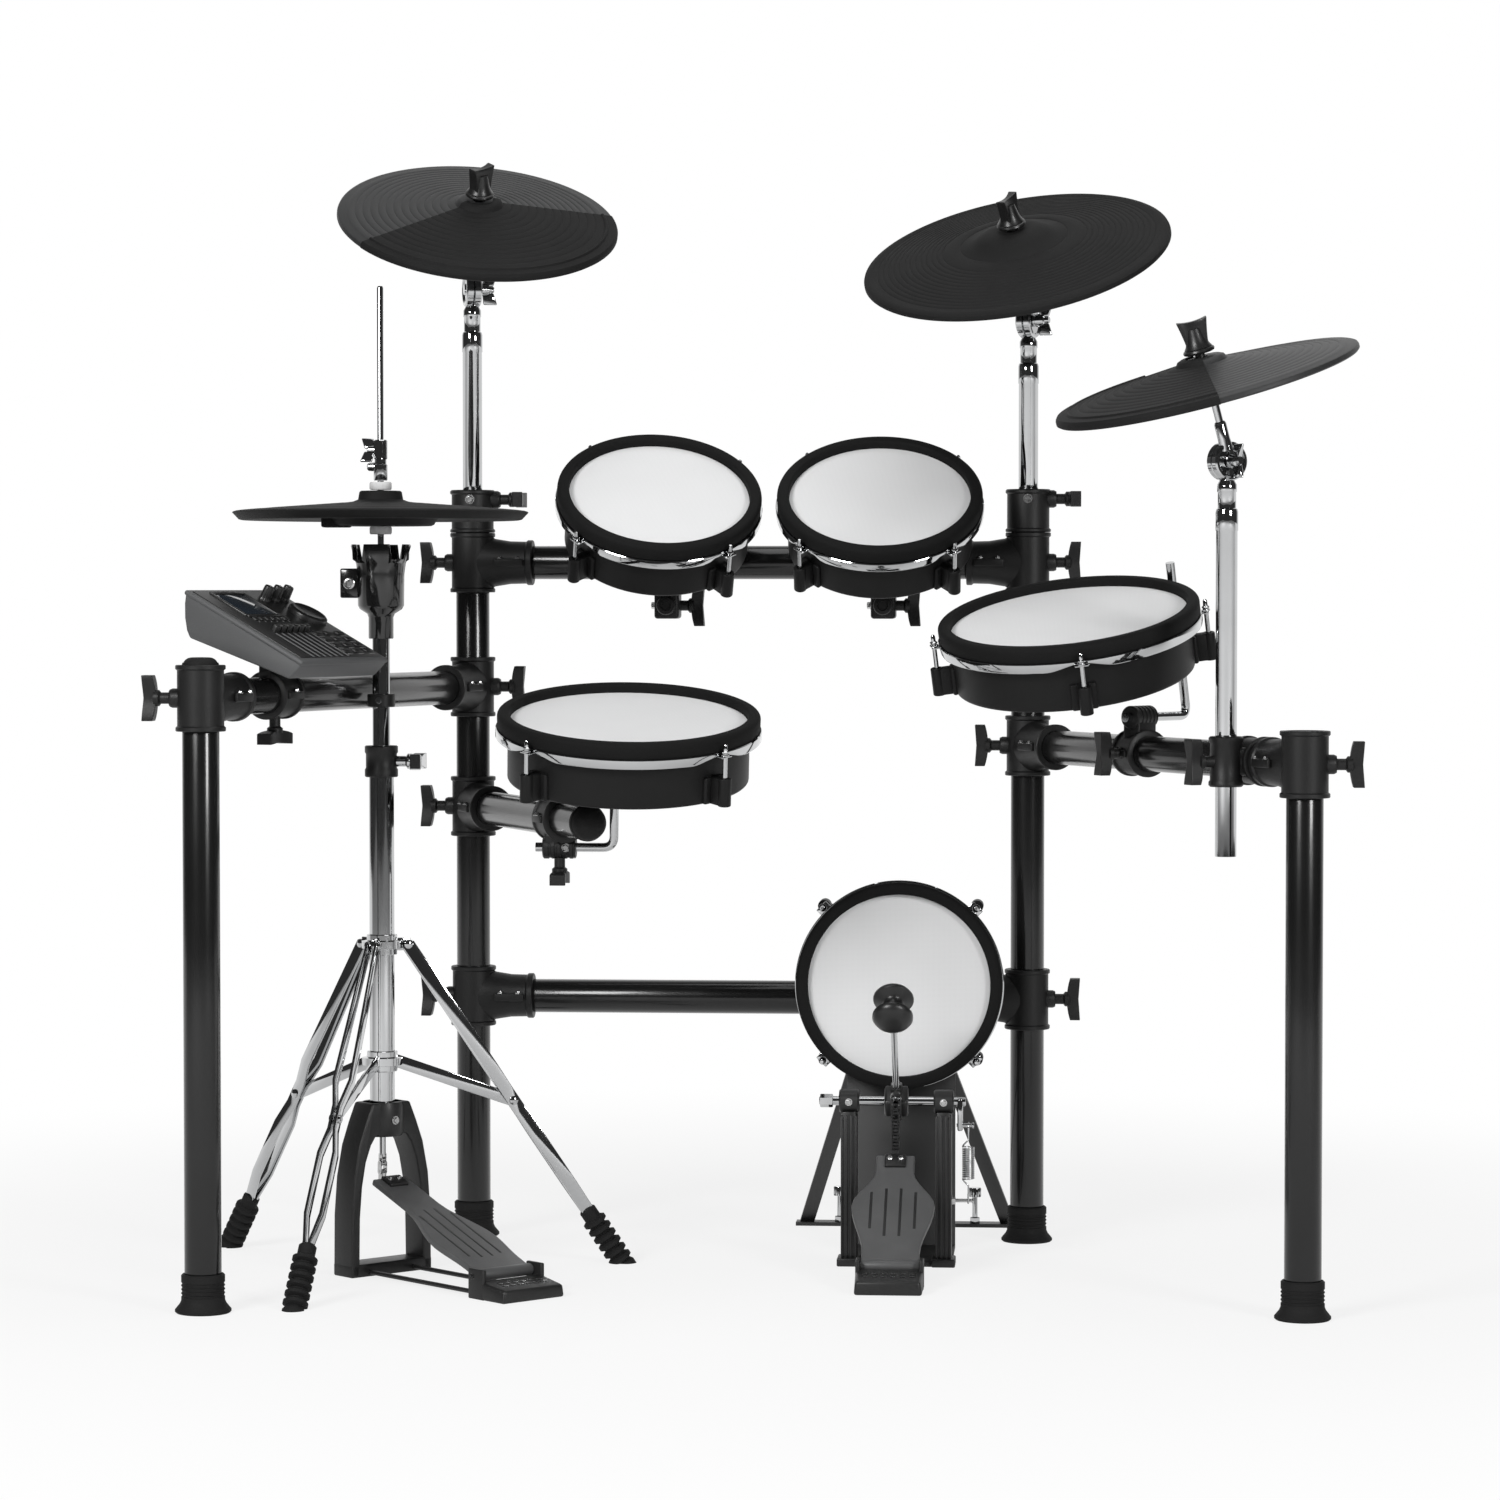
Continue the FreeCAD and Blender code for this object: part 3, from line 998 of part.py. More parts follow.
for side in (-1, 1):
    stay_top = plate_mid + RIGHT * (side * tower.stay_half) + UP * tower.stay_top
    stay_low = floor_bar + RIGHT * (side * tower.bar_half) + UP * (tower.base_height / 2)
    tower_pieces.append(block(tower.stay_width, tower.stay_thickness, (stay_low - stay_top).Length,
                              stand(stay_top, stay_low - stay_top, RIGHT)))
    spur = floor_bar + RIGHT * (side * tower.spur_half)
    spur_holes.append(rod(tower.spur_od / 2 + rack.fit_gap, tower.spur_height, stand(spur)))
    spurs.append(fuse(rod(tower.spur_od / 2, tower.spur_height, stand(spur)),
                      rod(tower.spur_head_od / 2, tower.spur_head,
                          stand(spur + UP * (tower.spur_height - tower.spur_head)))))
under_floor = block(tower.bar_half * 4, tower.bar_half * 4, tower.spur_height,
                    stand(kick_foot - UP * tower.spur_height))
node("kick_tower", cut(fuse(*tower_pieces), *spur_holes, under_floor), *spurs)

# The kick's pedal: two uprights on a base, an axle with beater and sprocket, a footboard, a spring, a chain.
stroke_sizes = {
    "base_width": 126, "base_height": 5, "base_length": 38.5, "post_half": 52, "post_width": 18,
    "post_depth": 26, "axle_y": -195.5, "axle_z": 181, "axle_od": 10, "axle_left": 85, "axle_right": 76,
    "bearing_width": 22, "bearing_depth": 30, "bearing_height": 26, "hub_width": 26, "hub_depth": 30,
    "hub_height": 26, "sprocket_radius": 24, "sprocket_width": 12, "shaft_od": 7, "shaft_length": 145,
    "shaft_angle": 40, "crank_left": 67, "crank": 6, "crank_depth": 12, "crank_drop": 26, "hook_pin_od": 4,
    "hook_pin_end": 85, "anchor_z": 72, "hinge_y": -362, "hinge_z": 24, "heel_length": 44,
    "heel_height": 22, "heel_gap": 8, "pin_od": 7, "barrel_od": 13, "ear": 5, "ear_length": 16,
    "ear_height": 32, "ear_gap": 0.3, "wire_od": 6, "wire_half": 20, "rest_angle": 33, "board_length": 178,
    "board_thickness": 7, "heel_half": 31, "heel_run": 20, "wide_half": 45, "wide_at": 95, "neck_half": 21,
    "neck_at": 150, "link_count": 5, "link_width": 10, "link_thickness": 3, "link_pin_od": 4,
    "chain_start": -215, "chain_foot": 124.6, "chain_end": -221.2, "chain_top": 178,
}
stroke = sizes("stroke", stroke_sizes)
axle_at = kick_foot + BACK * stroke.axle_y + UP * stroke.axle_z
bearing_foot = stroke.axle_z - stroke.bearing_height / 2
anchor_at = kick_foot + BACK * stroke.axle_y + UP * stroke.anchor_z
kick_hinge = kick_foot + BACK * stroke.hinge_y + UP * stroke.hinge_z
base_mid = tower.base_front - stroke.base_length / 2
frame_pieces = [block(stroke.base_width, stroke.base_length, stroke.base_height,
                      stand(kick_foot + BACK * base_mid)),
                span(stroke.hook_pin_od / 2, anchor_at + RIGHT * stroke.post_half,
                     anchor_at + RIGHT * stroke.hook_pin_end)]
for side in (-1, 1):
    post_at = kick_foot + BACK * stroke.axle_y + RIGHT * (side * stroke.post_half)
    frame_pieces.append(block(stroke.post_width, stroke.post_depth, bearing_foot, stand(post_at)))
    frame_pieces.append(block(stroke.bearing_width, stroke.bearing_depth, stroke.bearing_height,
                              stand(post_at + UP * bearing_foot)))
bearing_bore = span(stroke.axle_od / 2 + rack.fit_gap, axle_at - RIGHT * stroke.axle_left,
                    axle_at + RIGHT * stroke.axle_right)
wire_start = kick_hinge.y - stroke.heel_gap
wire_end = (kick_foot + BACK * (tower.base_front - stroke.base_length)).y
kick_wires = [rod(stroke.wire_od / 2, wire_end - wire_start,
                  stand(V(kick_foot.x + side * stroke.wire_half, wire_start, stroke.wire_od / 2), BACK))
              for side in (-1, 1)]
node("kick_pedal_frame", cut(fuse(*frame_pieces), bearing_bore), *kick_wires,
     *heel_plate(kick_hinge, -BACK, RIGHT, stroke))
node("kick_footboard", footboard(kick_hinge, -BACK, RIGHT, stroke))
node("kick_chain", *chain(kick_foot + BACK * stroke.chain_start + UP * stroke.chain_foot,
                          kick_foot + BACK * stroke.chain_end + UP * stroke.chain_top, RIGHT, stroke,
                          stroke.link_count))

# Beater: a mushroom at both ends of a short core, on a shaft that leans towards the player.
mushroom_sizes = {
    "half": 24, "face_radius": 14, "cap_radius": 22, "cap_face": 16, "cap_back": 11, "core_radius": 11,
    "core": 6,
}
mushroom = sizes("mushroom", mushroom_sizes)
lean_angle = math.radians(stroke.shaft_angle)
shaft_way = -BACK * math.sin(lean_angle) + UP * math.cos(lean_angle)
strike_way = BACK * math.cos(lean_angle) + UP * math.sin(lean_angle)
half_profile = [(0, mushroom.half), (mushroom.face_radius, mushroom.half),
                (mushroom.cap_radius, mushroom.cap_face),
                (mushroom.cap_radius, mushroom.cap_back), (mushroom.core_radius, mushroom.core)]
crank_mid = axle_at + RIGHT * (stroke.crank_left + stroke.crank / 2)
hook_at = axle_at - UP * stroke.crank_drop
node("kick_beater",
     fuse(span(stroke.axle_od / 2, axle_at - RIGHT * stroke.axle_left, axle_at + RIGHT * stroke.axle_right),
          block(stroke.hub_width, stroke.hub_depth, stroke.hub_height,
                stand(axle_at - UP * (stroke.hub_height / 2))),
          rod(stroke.sprocket_radius, stroke.sprocket_width,
              stand(axle_at - RIGHT * (stroke.sprocket_width / 2), RIGHT)),
          rod(stroke.shaft_od / 2, stroke.shaft_length, stand(axle_at, shaft_way)),
          lathe([(x, -y) for x, y in half_profile] + half_profile[::-1],
                stand(axle_at + shaft_way * stroke.shaft_length, strike_way)),
          block(stroke.crank, stroke.crank_depth, stroke.crank_drop + stroke.crank_depth / 2,
                stand(crank_mid - UP * (stroke.crank_drop + stroke.crank_depth / 2))),
          span(stroke.hook_pin_od / 2, hook_at + RIGHT * stroke.crank_left,
               hook_at + RIGHT * stroke.hook_pin_end)))

# Return spring: one wire, wound close and hooked over a pin at each end, alike at both ends.
coil_sizes = {
    "wire": 1.7, "od": 14, "turns": 15, "pitch": 2.35, "hook_radius": 5, "lead": 8, "seat_gap": 0.1,
    "tail": 6, "offset": 79, "sample": 0.5,
}
coil = sizes("coil", coil_sizes)
winding = (coil.od - coil.wire) / 2
half_span = (stroke.axle_z - stroke.crank_drop - stroke.anchor_z) / 2
hook_mid = half_span + stroke.hook_pin_od / 2 + coil.seat_gap + coil.wire / 2 - coil.hook_radius


def arc_from(start, tangent, end):
    """The arc that leaves start along a tangent and ends at a point."""
    chord = end - start
    half_chord = chord.Length / 2
    chord.normalize()
    bulge = tangent - chord * tangent.dot(chord)
    bend = math.atan2(bulge.Length, tangent.dot(chord))
    bulge.normalize()
    middle = (start + end) * 0.5 + bulge * (half_chord * math.tan(bend / 2))
    return Part.Arc(start, middle, end).toShape()


def biarc(start, start_way, end, end_way):
    """Two arcs that join two points with the tangents asked for."""
    across = end - start
    both = across.dot(start_way + end_way)
    turn = 2 * (1 - start_way.dot(end_way))
    reach = (math.sqrt(both ** 2 + turn * across.dot(across)) - both) / turn
    middle = (start + end + (start_way - end_way) * reach) * 0.5
    last = arc_from(end, -end_way, middle)
    return [arc_from(start, start_way, middle), Part.Arc(middle, last.valueAt(last.LastParameter / 2
            + last.FirstParameter / 2), end).toShape()]


def on_coil(quarter):
    """The wire's place and direction after so many quarter turns from the middle."""
    angle = math.pi / 2 * quarter
    point = V(winding * math.cos(angle), winding * math.sin(angle), coil.pitch * quarter / 4)
    way = V(-winding * math.sin(angle), winding * math.cos(angle), coil.pitch / (2 * math.pi))
    return point, way.normalize()


quarters = int(coil.turns * 2)
top_point, top_way = on_coil(quarters)
lead_end = V(0, -coil.hook_radius, top_point.z + coil.lead)
hook_start = V(0, -coil.hook_radius, hook_mid)
hook_end = V(0, coil.hook_radius, hook_mid)
upper = biarc(top_point, top_way, lead_end, UP)
upper.append(Part.LineSegment(lead_end, hook_start).toShape())
upper.append(Part.Arc(hook_start, V(0, 0, hook_mid + coil.hook_radius), hook_end).toShape())
upper.append(Part.LineSegment(hook_end, hook_end - UP * coil.tail).toShape())
lower = [edge.rotated(V(0, 0, 0), RIGHT, 180) for edge in upper]
winds = []
for quarter in range(-quarters, quarters):
    winds += biarc(*on_coil(quarter), *on_coil(quarter + 1))
wire_path = Part.Wire(Part.__sortEdges__(lower[::-1] + winds + upper))
section = Part.Wire(Part.Circle(hook_end - UP * coil.tail, UP, coil.wire / 2).toShape())
spring_shape = wire_path.makePipeShell([section], True, False)
spring_shape.translate(kick_foot + RIGHT * coil.offset + BACK * stroke.axle_y
                       + UP * (stroke.anchor_z + half_span))
spring_coil = doc.addObject("Part::Feature", "spring_coil")
spring_coil.Shape = spring_shape
node("kick_spring", spring_coil)

samples = wire_path.discretize(Distance=coil.sample)
pace = wire_path.Length / (len(samples) - 1)
apart = int(coil.od / pace)
least_gap = min(samples[i].distanceToPoint(samples[j]) - coil.wire
                for i in range(len(samples)) for j in range(i + apart, len(samples)))
wire_volume = math.pi * coil.wire ** 2 / 4 * wire_path.Length
print(f"spring: length {wire_path.Length:.1f} mm, volume ratio {spring_shape.Volume / wire_volume:.4f},",
      f"least gap between turns {least_gap:.2f} mm")


doc.recompute()
for thing in doc.Objects:
    if "Invalid" in thing.State or "Error" in thing.State:
        raise RuntimeError(f"{thing.Label} failed: {thing.State}")
for thing in nodes:
    if thing.Shape.isNull() or not thing.Shape.isValid() or not thing.Shape.Solids:
        raise RuntimeError(f"{thing.Label} has no valid solid")
os.makedirs("parts", exist_ok=True)
for thing in nodes:
    thing.Shape.exportStep(f"parts/{thing.Label}.step")
print(len(nodes), "nodes,", sum(len(thing.Shape.Solids) for thing in nodes), "solids")
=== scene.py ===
"""Looks of an electronic drum kit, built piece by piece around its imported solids, in metres."""

import json
import math

import bpy
import numpy as np
from mathutils import Matrix, Vector

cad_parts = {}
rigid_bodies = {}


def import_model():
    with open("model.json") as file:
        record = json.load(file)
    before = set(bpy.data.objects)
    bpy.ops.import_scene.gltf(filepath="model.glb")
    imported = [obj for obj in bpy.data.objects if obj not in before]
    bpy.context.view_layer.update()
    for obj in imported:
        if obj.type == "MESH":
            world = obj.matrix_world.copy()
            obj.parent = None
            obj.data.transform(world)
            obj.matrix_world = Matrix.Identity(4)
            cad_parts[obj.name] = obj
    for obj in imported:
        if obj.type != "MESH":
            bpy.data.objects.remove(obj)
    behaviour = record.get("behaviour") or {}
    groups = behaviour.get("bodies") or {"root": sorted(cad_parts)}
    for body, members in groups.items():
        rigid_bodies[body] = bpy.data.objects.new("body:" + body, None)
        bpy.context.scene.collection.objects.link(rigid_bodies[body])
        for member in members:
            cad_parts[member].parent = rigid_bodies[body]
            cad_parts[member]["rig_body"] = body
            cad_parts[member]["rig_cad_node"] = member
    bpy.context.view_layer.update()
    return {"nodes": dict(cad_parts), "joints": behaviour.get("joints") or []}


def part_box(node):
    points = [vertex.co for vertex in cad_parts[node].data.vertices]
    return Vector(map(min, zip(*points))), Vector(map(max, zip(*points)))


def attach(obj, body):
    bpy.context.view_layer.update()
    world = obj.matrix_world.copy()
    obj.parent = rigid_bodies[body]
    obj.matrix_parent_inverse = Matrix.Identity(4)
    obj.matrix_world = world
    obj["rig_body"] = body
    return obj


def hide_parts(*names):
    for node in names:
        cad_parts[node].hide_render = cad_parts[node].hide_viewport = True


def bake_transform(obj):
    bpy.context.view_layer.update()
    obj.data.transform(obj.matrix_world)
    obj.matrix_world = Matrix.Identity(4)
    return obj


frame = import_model()
nodes = frame["nodes"]
joints = {joint["name"]: joint for joint in frame["joints"]}
MM = 0.001

# Studio: a pale paper floor that runs into a white backdrop, a dim room round the camera, two large soft
# lamps and one overhead, and a camera as far off, as high and as narrow as the photograph's.
view_at = Vector((0.3467, -4.8703, 0.743))
view_turn = math.radians(4.24)
view_dip = math.radians(2.04)
bpy.ops.object.select_all(action="DESELECT")
bpy.ops.object.camera_add(location=view_at, rotation=(math.pi / 2 - view_dip, 0, view_turn))
camera = bpy.context.object
camera.data.sensor_width = 36
camera.data.lens = 108
bpy.context.scene.camera = camera
bpy.context.scene.view_settings.view_transform = "Standard"


class Shade:
    """A shader socket that can stand in a Python sum: each operation adds one Math node."""

    def __init__(self, finish, socket):
        self.finish = finish
        self.socket = socket

    def sum(self, operation, first, second):
        """One Math node on two values."""
        return self.finish.add("ShaderNodeMath", {"operation": operation}, {0: first, 1: second})["Value"]

    def __add__(self, other):
        return self.sum("ADD", self, other)

    def __radd__(self, other):
        return self.sum("ADD", other, self)

    def __sub__(self, other):
        return self.sum("SUBTRACT", self, other)

    def __mul__(self, other):
        return self.sum("MULTIPLY", self, other)


class Finish:
    """A material in the making: nodes are added one by one, by recipes that the finishes share."""

    def __init__(self, name, tree=None):
        if tree is None:
            self.material = bpy.data.materials.new(name)
            self.material.use_nodes = True
            tree = self.material.node_tree
        self.tree = tree
        self.skin = tree.nodes.get("Principled BSDF")

    def add(self, kind, settings=None, inputs=None):
        """Puts in a node and gives back its outputs by name."""
        node = self.tree.nodes.new(kind)
        for key, value in (settings or {}).items():
            setattr(node, key, value)
        for key, value in (inputs or {}).items():
            self.join(node.inputs[key], value)
        return {socket.name: Shade(self, socket) for socket in node.outputs if socket.enabled}

    def join(self, socket, value):
        """Links a shader socket to an input, or sets the input to a plain value."""
        if isinstance(value, Shade):
            self.tree.links.new(value.socket, socket)
        else:
            socket.default_value = value

    def place(self, centre, turn):
        """Object coordinates, moved and turned so that a pattern sits square on its piece."""
        spot = self.add("ShaderNodeTexCoord")["Object"]
        return self.add("ShaderNodeMapping", {"vector_type": "TEXTURE"},
                        {"Vector": spot, "Location": centre, "Rotation": turn})["Vector"]

    def noise(self, scale, detail):
        """Soft cloudy values over the piece."""
        spot = self.add("ShaderNodeTexCoord")["Object"]
        return self.add("ShaderNodeTexNoise", None,
                        {"Vector": spot, "Scale": scale, "Detail": detail, "Roughness": 0.5})["Fac"]

    def between(self, low, high, share):
        """A colour part of the way from one to another."""
        mix = self.add("ShaderNodeMix", {"data_type": "RGBA"}, {"Factor": share})
        node = mix["Result"].socket.node
        self.join(node.inputs[6], low)
        self.join(node.inputs[7], high)
        return Shade(self, node.outputs[2])

    def bump(self, height, depth, strength):
        """A normal that rises and falls with a value."""
        return self.add("ShaderNodeBump", None,
                        {"Height": height, "Distance": depth, "Strength": strength})["Normal"]

    def set(self, **sockets):
        """Sets inputs of the main shader, with _ for a space in their names, and gives back the material."""
        for key, value in sockets.items():
            self.join(self.skin.inputs[key.replace("_", " ")], value)
        return self.material


def grey(level, tint=0.0):
    """A near-neutral colour, a little blue where tint is above zero."""
    return (level * (1 - tint), level, level * (1 + tint), 1)


floor_size = 14.0
bpy.ops.mesh.primitive_plane_add(size=floor_size, location=(0, 0, 0))
floor = bpy.context.object
floor.name = "studio_floor"
paper = Finish("studio_paper")
rays = paper.add("ShaderNodeLightPath")
span = paper.add(
    "ShaderNodeVectorMath", {"operation": "LENGTH"},
    {0: paper.add("ShaderNodeTexCoord")["Object"]})["Value"]
paper_white = paper.add(
    "ShaderNodeMapRange", {"interpolation_type": "SMOOTHSTEP"},
    {"Value": span, "From Min": 0.7, "From Max": 1.9, "To Min": 0.8, "To Max": 1.0})["Result"]
depth = paper.add("ShaderNodeSeparateXYZ", None, {"Vector": paper.add("ShaderNodeTexCoord")["Object"]})["Y"]
behind = paper.add(
    "ShaderNodeMapRange", {"interpolation_type": "SMOOTHSTEP"},
    {"Value": depth, "From Min": -0.6, "From Max": 0.8, "To Min": 0.0, "To Max": 1.0})["Result"]
seen = rays["Is Camera Ray"] * paper_white
mirrored = rays["Is Glossy Ray"] * behind
seen_far = seen + mirrored + rays["Is Transmission Ray"]
paper.set(Base_Color=grey(0.8), Roughness=0.9, Specular_IOR_Level=0.1)
glow = paper.add("ShaderNodeEmission", None, {"Color": grey(1.0), "Strength": 1.0})["Emission"]
blend = paper.add("ShaderNodeMixShader", None, {"Fac": seen_far})["Shader"]
paper.join(blend.socket.node.inputs[1], Shade(paper, paper.skin.outputs["BSDF"]))
paper.join(blend.socket.node.inputs[2], glow)
paper.join(paper.tree.nodes["Material Output"].inputs["Surface"], blend)
floor.data.materials.append(paper.material)

world = bpy.data.worlds.new("studio_air")
world.use_nodes = True
bpy.context.scene.world = world
air = Finish("studio_air", world.node_tree)
rays = air.add("ShaderNodeLightPath")
way = air.add("ShaderNodeSeparateXYZ", None, {"Vector": air.add("ShaderNodeTexCoord")["Object"]})
ambient = 0.26
room = 0.04
backdrop = air.add(
    "ShaderNodeMapRange", {"interpolation_type": "SMOOTHSTEP"},
    {"Value": way["Y"], "From Min": 0.3, "From Max": 0.9, "To Min": room, "To Max": 1.0})["Result"]
seen = rays["Is Camera Ray"] + rays["Is Transmission Ray"]
mirrored = rays["Is Glossy Ray"] * (backdrop - ambient)
air.join(world.node_tree.nodes["Background"].inputs["Color"], grey(1.0))
air.join(world.node_tree.nodes["Background"].inputs["Strength"], ambient + seen * (1 - ambient) + mirrored)

for name, place, size, power in (
        ("key_lamp", (-2.0, -3.4, 2.3), 1.3, 118), ("fill_lamp", (2.7, -3.0, 1.7), 0.9, 66),
        ("top_lamp", (0.2, 0.1, 3.6), 2.2, 30)):
    aim = Vector((0, 0, 0.6)) - Vector(place)
    bpy.ops.object.light_add(type="AREA", location=place, rotation=aim.to_track_quat("-Z", "Y").to_euler())
    lamp = bpy.context.object
    lamp.name = name
    lamp.data.size = size
    lamp.data.energy = power

# Rack tubes: 38 mm steel tube in satin black enamel, cut square. It makes the rear posts, the crossbars,
# the side bars and the front legs, all held in the sleeves of the tee clamps.
enamel = Finish("black_enamel")
wander = enamel.noise(9.0, 2.0)
peel = enamel.noise(420.0, 1.0)
tube_black = enamel.set(
    Base_Color=enamel.between(grey(0.005), grey(0.009), wander), Roughness=0.17 + wander * 0.10,
    Specular_IOR_Level=0.4, Coat_Weight=0.25, Coat_Roughness=0.1, Normal=enamel.bump(peel, 0.00006, 0.35))
smooth_angle = math.radians(38)


def alone(piece):
    """Makes one object the only one selected, so that operators act on it alone."""
    bpy.ops.object.select_all(action="DESELECT")
    piece.select_set(True)
    bpy.context.view_layer.objects.active = piece


def dress(piece, finish, body, slot, *stands_for):
    """Gives a finished piece its material, its body and the solids that it stands for; the slot argument is
    not used.
    """
    piece.data.materials.clear()
    piece.data.materials.append(finish)
    alone(piece)
    bpy.ops.object.transform_apply(location=True, rotation=True, scale=True)
    bpy.ops.object.shade_smooth_by_angle(angle=smooth_angle)
    if body is not None:
        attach(piece, body)
    if stands_for:
        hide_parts(*stands_for)
    return piece


def rounded(piece, width, segments=2, angle=40):
    """Rounds a piece's sharp edges."""
    alone(piece)
    bevel = piece.modifiers.new("round", "BEVEL")
    bevel.width = width
    bevel.segments = segments
    bevel.limit_method = "ANGLE"
    bevel.angle_limit = math.radians(angle)
    bpy.ops.object.modifier_apply(modifier="round")
    return piece


def eased(node, name, width=0.0):
    """A copy of a solid with its faces joined up and its sharp edges eased by a small round."""
    piece = nodes[node].copy()
    piece.data = nodes[node].data.copy()
    piece.name = name
    piece.parent = None
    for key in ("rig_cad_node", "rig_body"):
        del piece[key]
    bpy.context.scene.collection.objects.link(piece)
    alone(piece)
    bpy.ops.object.mode_set(mode="EDIT")
    bpy.ops.mesh.select_all(action="SELECT")
    bpy.ops.mesh.remove_doubles(threshold=1e-5)
    bpy.ops.mesh.dissolve_limited(angle_limit=math.radians(0.5), delimit={"SHARP"})
    bpy.ops.object.mode_set(mode="OBJECT")
    if width:
        rounded(piece, width)
    return piece


def body_of(node):
    """The body that a solid moves with."""
    return nodes[node]["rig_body"]


for node in (
        "rear_posts", "crossbars", "side_bar_left", "side_bar_right", "front_leg_left", "front_leg_right"):
    dress(eased(node, f"{node}_tube", 0.4 * MM), tube_black, body_of(node), "black_tube", node)

# Tee clamps: glass-filled black nylon sleeves round the posts that flare out to hold each bar, split
# along the arm and drawn together by bright hex screws. A T-handled screw in a boss pinches each of them
# to its post.


def grained(name, dark, pale, rough, fine, coarse=None, bump=None, **sockets):
    """A finish that drifts between two tones, with a fine grain in its roughness and its bumps."""
    finish = Finish(name)
    grain = finish.noise(*fine)
    drift = finish.noise(*coarse) if coarse else grain
    if bump:
        sockets["Normal"] = finish.bump(grain, *bump)
    return finish.set(
        Base_Color=finish.between(dark, pale, drift), Roughness=rough[0] + grain * rough[1], **sockets)


nylon_black = grained(
    "clamp_nylon", grey(0.006), grey(0.011), rough=(0.36, 0.2), fine=(520.0, 3.0), coarse=(24.0, 2.0),
    bump=(0.00018, 0.65), Specular_IOR_Level=0.34)
zinc = grained("screw_zinc", grey(0.52), grey(0.66), rough=(0.18, 0.14), fine=(120.0, 3.0), Metallic=1.0)
least_radius = 2e-6
tee_half = 34 * MM
tee_radius = 24 * MM
flange_radius = 25.75 * MM
tee_reach = 70 * MM
boss_reach = 32 * MM
tube_fit = 19.2 * MM


def placed(along_x, along_y, along_z, at):
    """The place at a point with three directions as its X, Y and Z."""
    place = Matrix((along_x, along_y, along_z)).transposed().to_4x4()
    place.translation = at
    return place


def upright(centre, axis):
    axis = axis.normalized()
    right = Vector((1, 0, 0)) - axis * axis.x
    if right.length < 0.05:
        right = Vector((0, 1, 0)) - axis * axis.y
    right.normalize()
    return placed(right, axis.cross(right), axis, centre)


def facing(centre, axis, across):
    """The place of a piece with its axis as Z and its length along another direction as X."""
    axis = axis.normalized()
    across = (across - axis * axis.dot(across)).normalized()
    return placed(across, axis.cross(across), axis, centre)


def turned(name, outline, place, sides):
    """A lathe-turned piece: a ring drawn along the outline's radii and heights; equal ends close up."""
    bpy.ops.object.select_all(action="DESELECT")
    radius, height = max(outline[0][0], least_radius), 0.0
    bpy.ops.mesh.primitive_circle_add(vertices=sides, radius=radius)
    piece = bpy.context.object
    piece.name = name
    bpy.ops.object.mode_set(mode="EDIT")
    bpy.ops.mesh.select_all(action="SELECT")
    for step, (next_radius, next_height) in enumerate(outline):
        next_radius = max(next_radius, least_radius)
        rise = (0, 0, next_height - height)
        if step:
            bpy.ops.mesh.extrude_region_move(TRANSFORM_OT_translate={"value": rise})
        else:
            bpy.ops.transform.translate(value=rise)
        share = next_radius / radius
        bpy.ops.transform.resize(value=(share, share, 1), center_override=(0, 0, next_height))
        radius, height = next_radius, next_height
    bpy.ops.mesh.select_all(action="SELECT")
    bpy.ops.mesh.remove_doubles(threshold=least_radius * 4)
    bpy.ops.mesh.normals_make_consistent(inside=False)
    bpy.ops.object.mode_set(mode="OBJECT")
    if place is not None:
        piece.matrix_world = place
    return piece


def mm(*points):
    """Points of an outline that are given in millimetres."""
    return [(across * MM, along * MM) for across, along in points]


def arc(centre, radius, start, end, steps=5):
    """Points of an outline's round corner, from one angle to another in degrees."""
    angles = [math.radians(start + (end - start) * step / steps) for step in range(steps + 1)]
    return [(centre[0] + radius * math.cos(a), centre[1] + radius * math.sin(a)) for a in angles]


def brick(name, size, at, place, width=0.0, segments=2):
    """A block with rounded edges, its middle at a point of a placement."""
    bpy.ops.object.select_all(action="DESELECT")
    bpy.ops.mesh.primitive_cube_add(size=1.0)
    piece = bpy.context.object
    piece.name = name
    piece.scale = size
    bpy.ops.object.transform_apply(scale=True)
    if width:
        rounded(piece, width, segments)
    piece.matrix_world = place @ Matrix.Translation(at)
    return piece


def block(name, size, at, place, width=0, segments=2):
    """A brick whose size, middle and edge rounding are given in millimetres."""
    return brick(
        name, [side * MM for side in size], [along * MM for along in at], place, width * MM, segments)


def joined(name, pieces):
    """Several meshes made one piece, each still its own shell."""
    bpy.ops.object.select_all(action="DESELECT")
    for piece in pieces:
        piece.select_set(True)
    bpy.context.view_layer.objects.active = pieces[0]
    bpy.ops.object.transform_apply(location=True, rotation=True, scale=True)
    if len(pieces) > 1:
        bpy.ops.object.join()
    pieces[0].name = name
    pieces[0].data.name = name
    return pieces[0]


def hex_screw(at, axis, size, height):
    """A hexagon screw head with a washer under it."""
    place = upright(at, axis)
    wide = size * 1.35
    head = turned("head", [
        (0, 1 * MM), (size, 1 * MM), (size, height - 0.8 * MM), (size * 0.86, height), (0, height)],
        place, 6)
    washer = turned("washer", [(0, 0), (wide, 0), (wide, 1 * MM), (0, 1 * MM)], place, 24)
    return [head, washer]


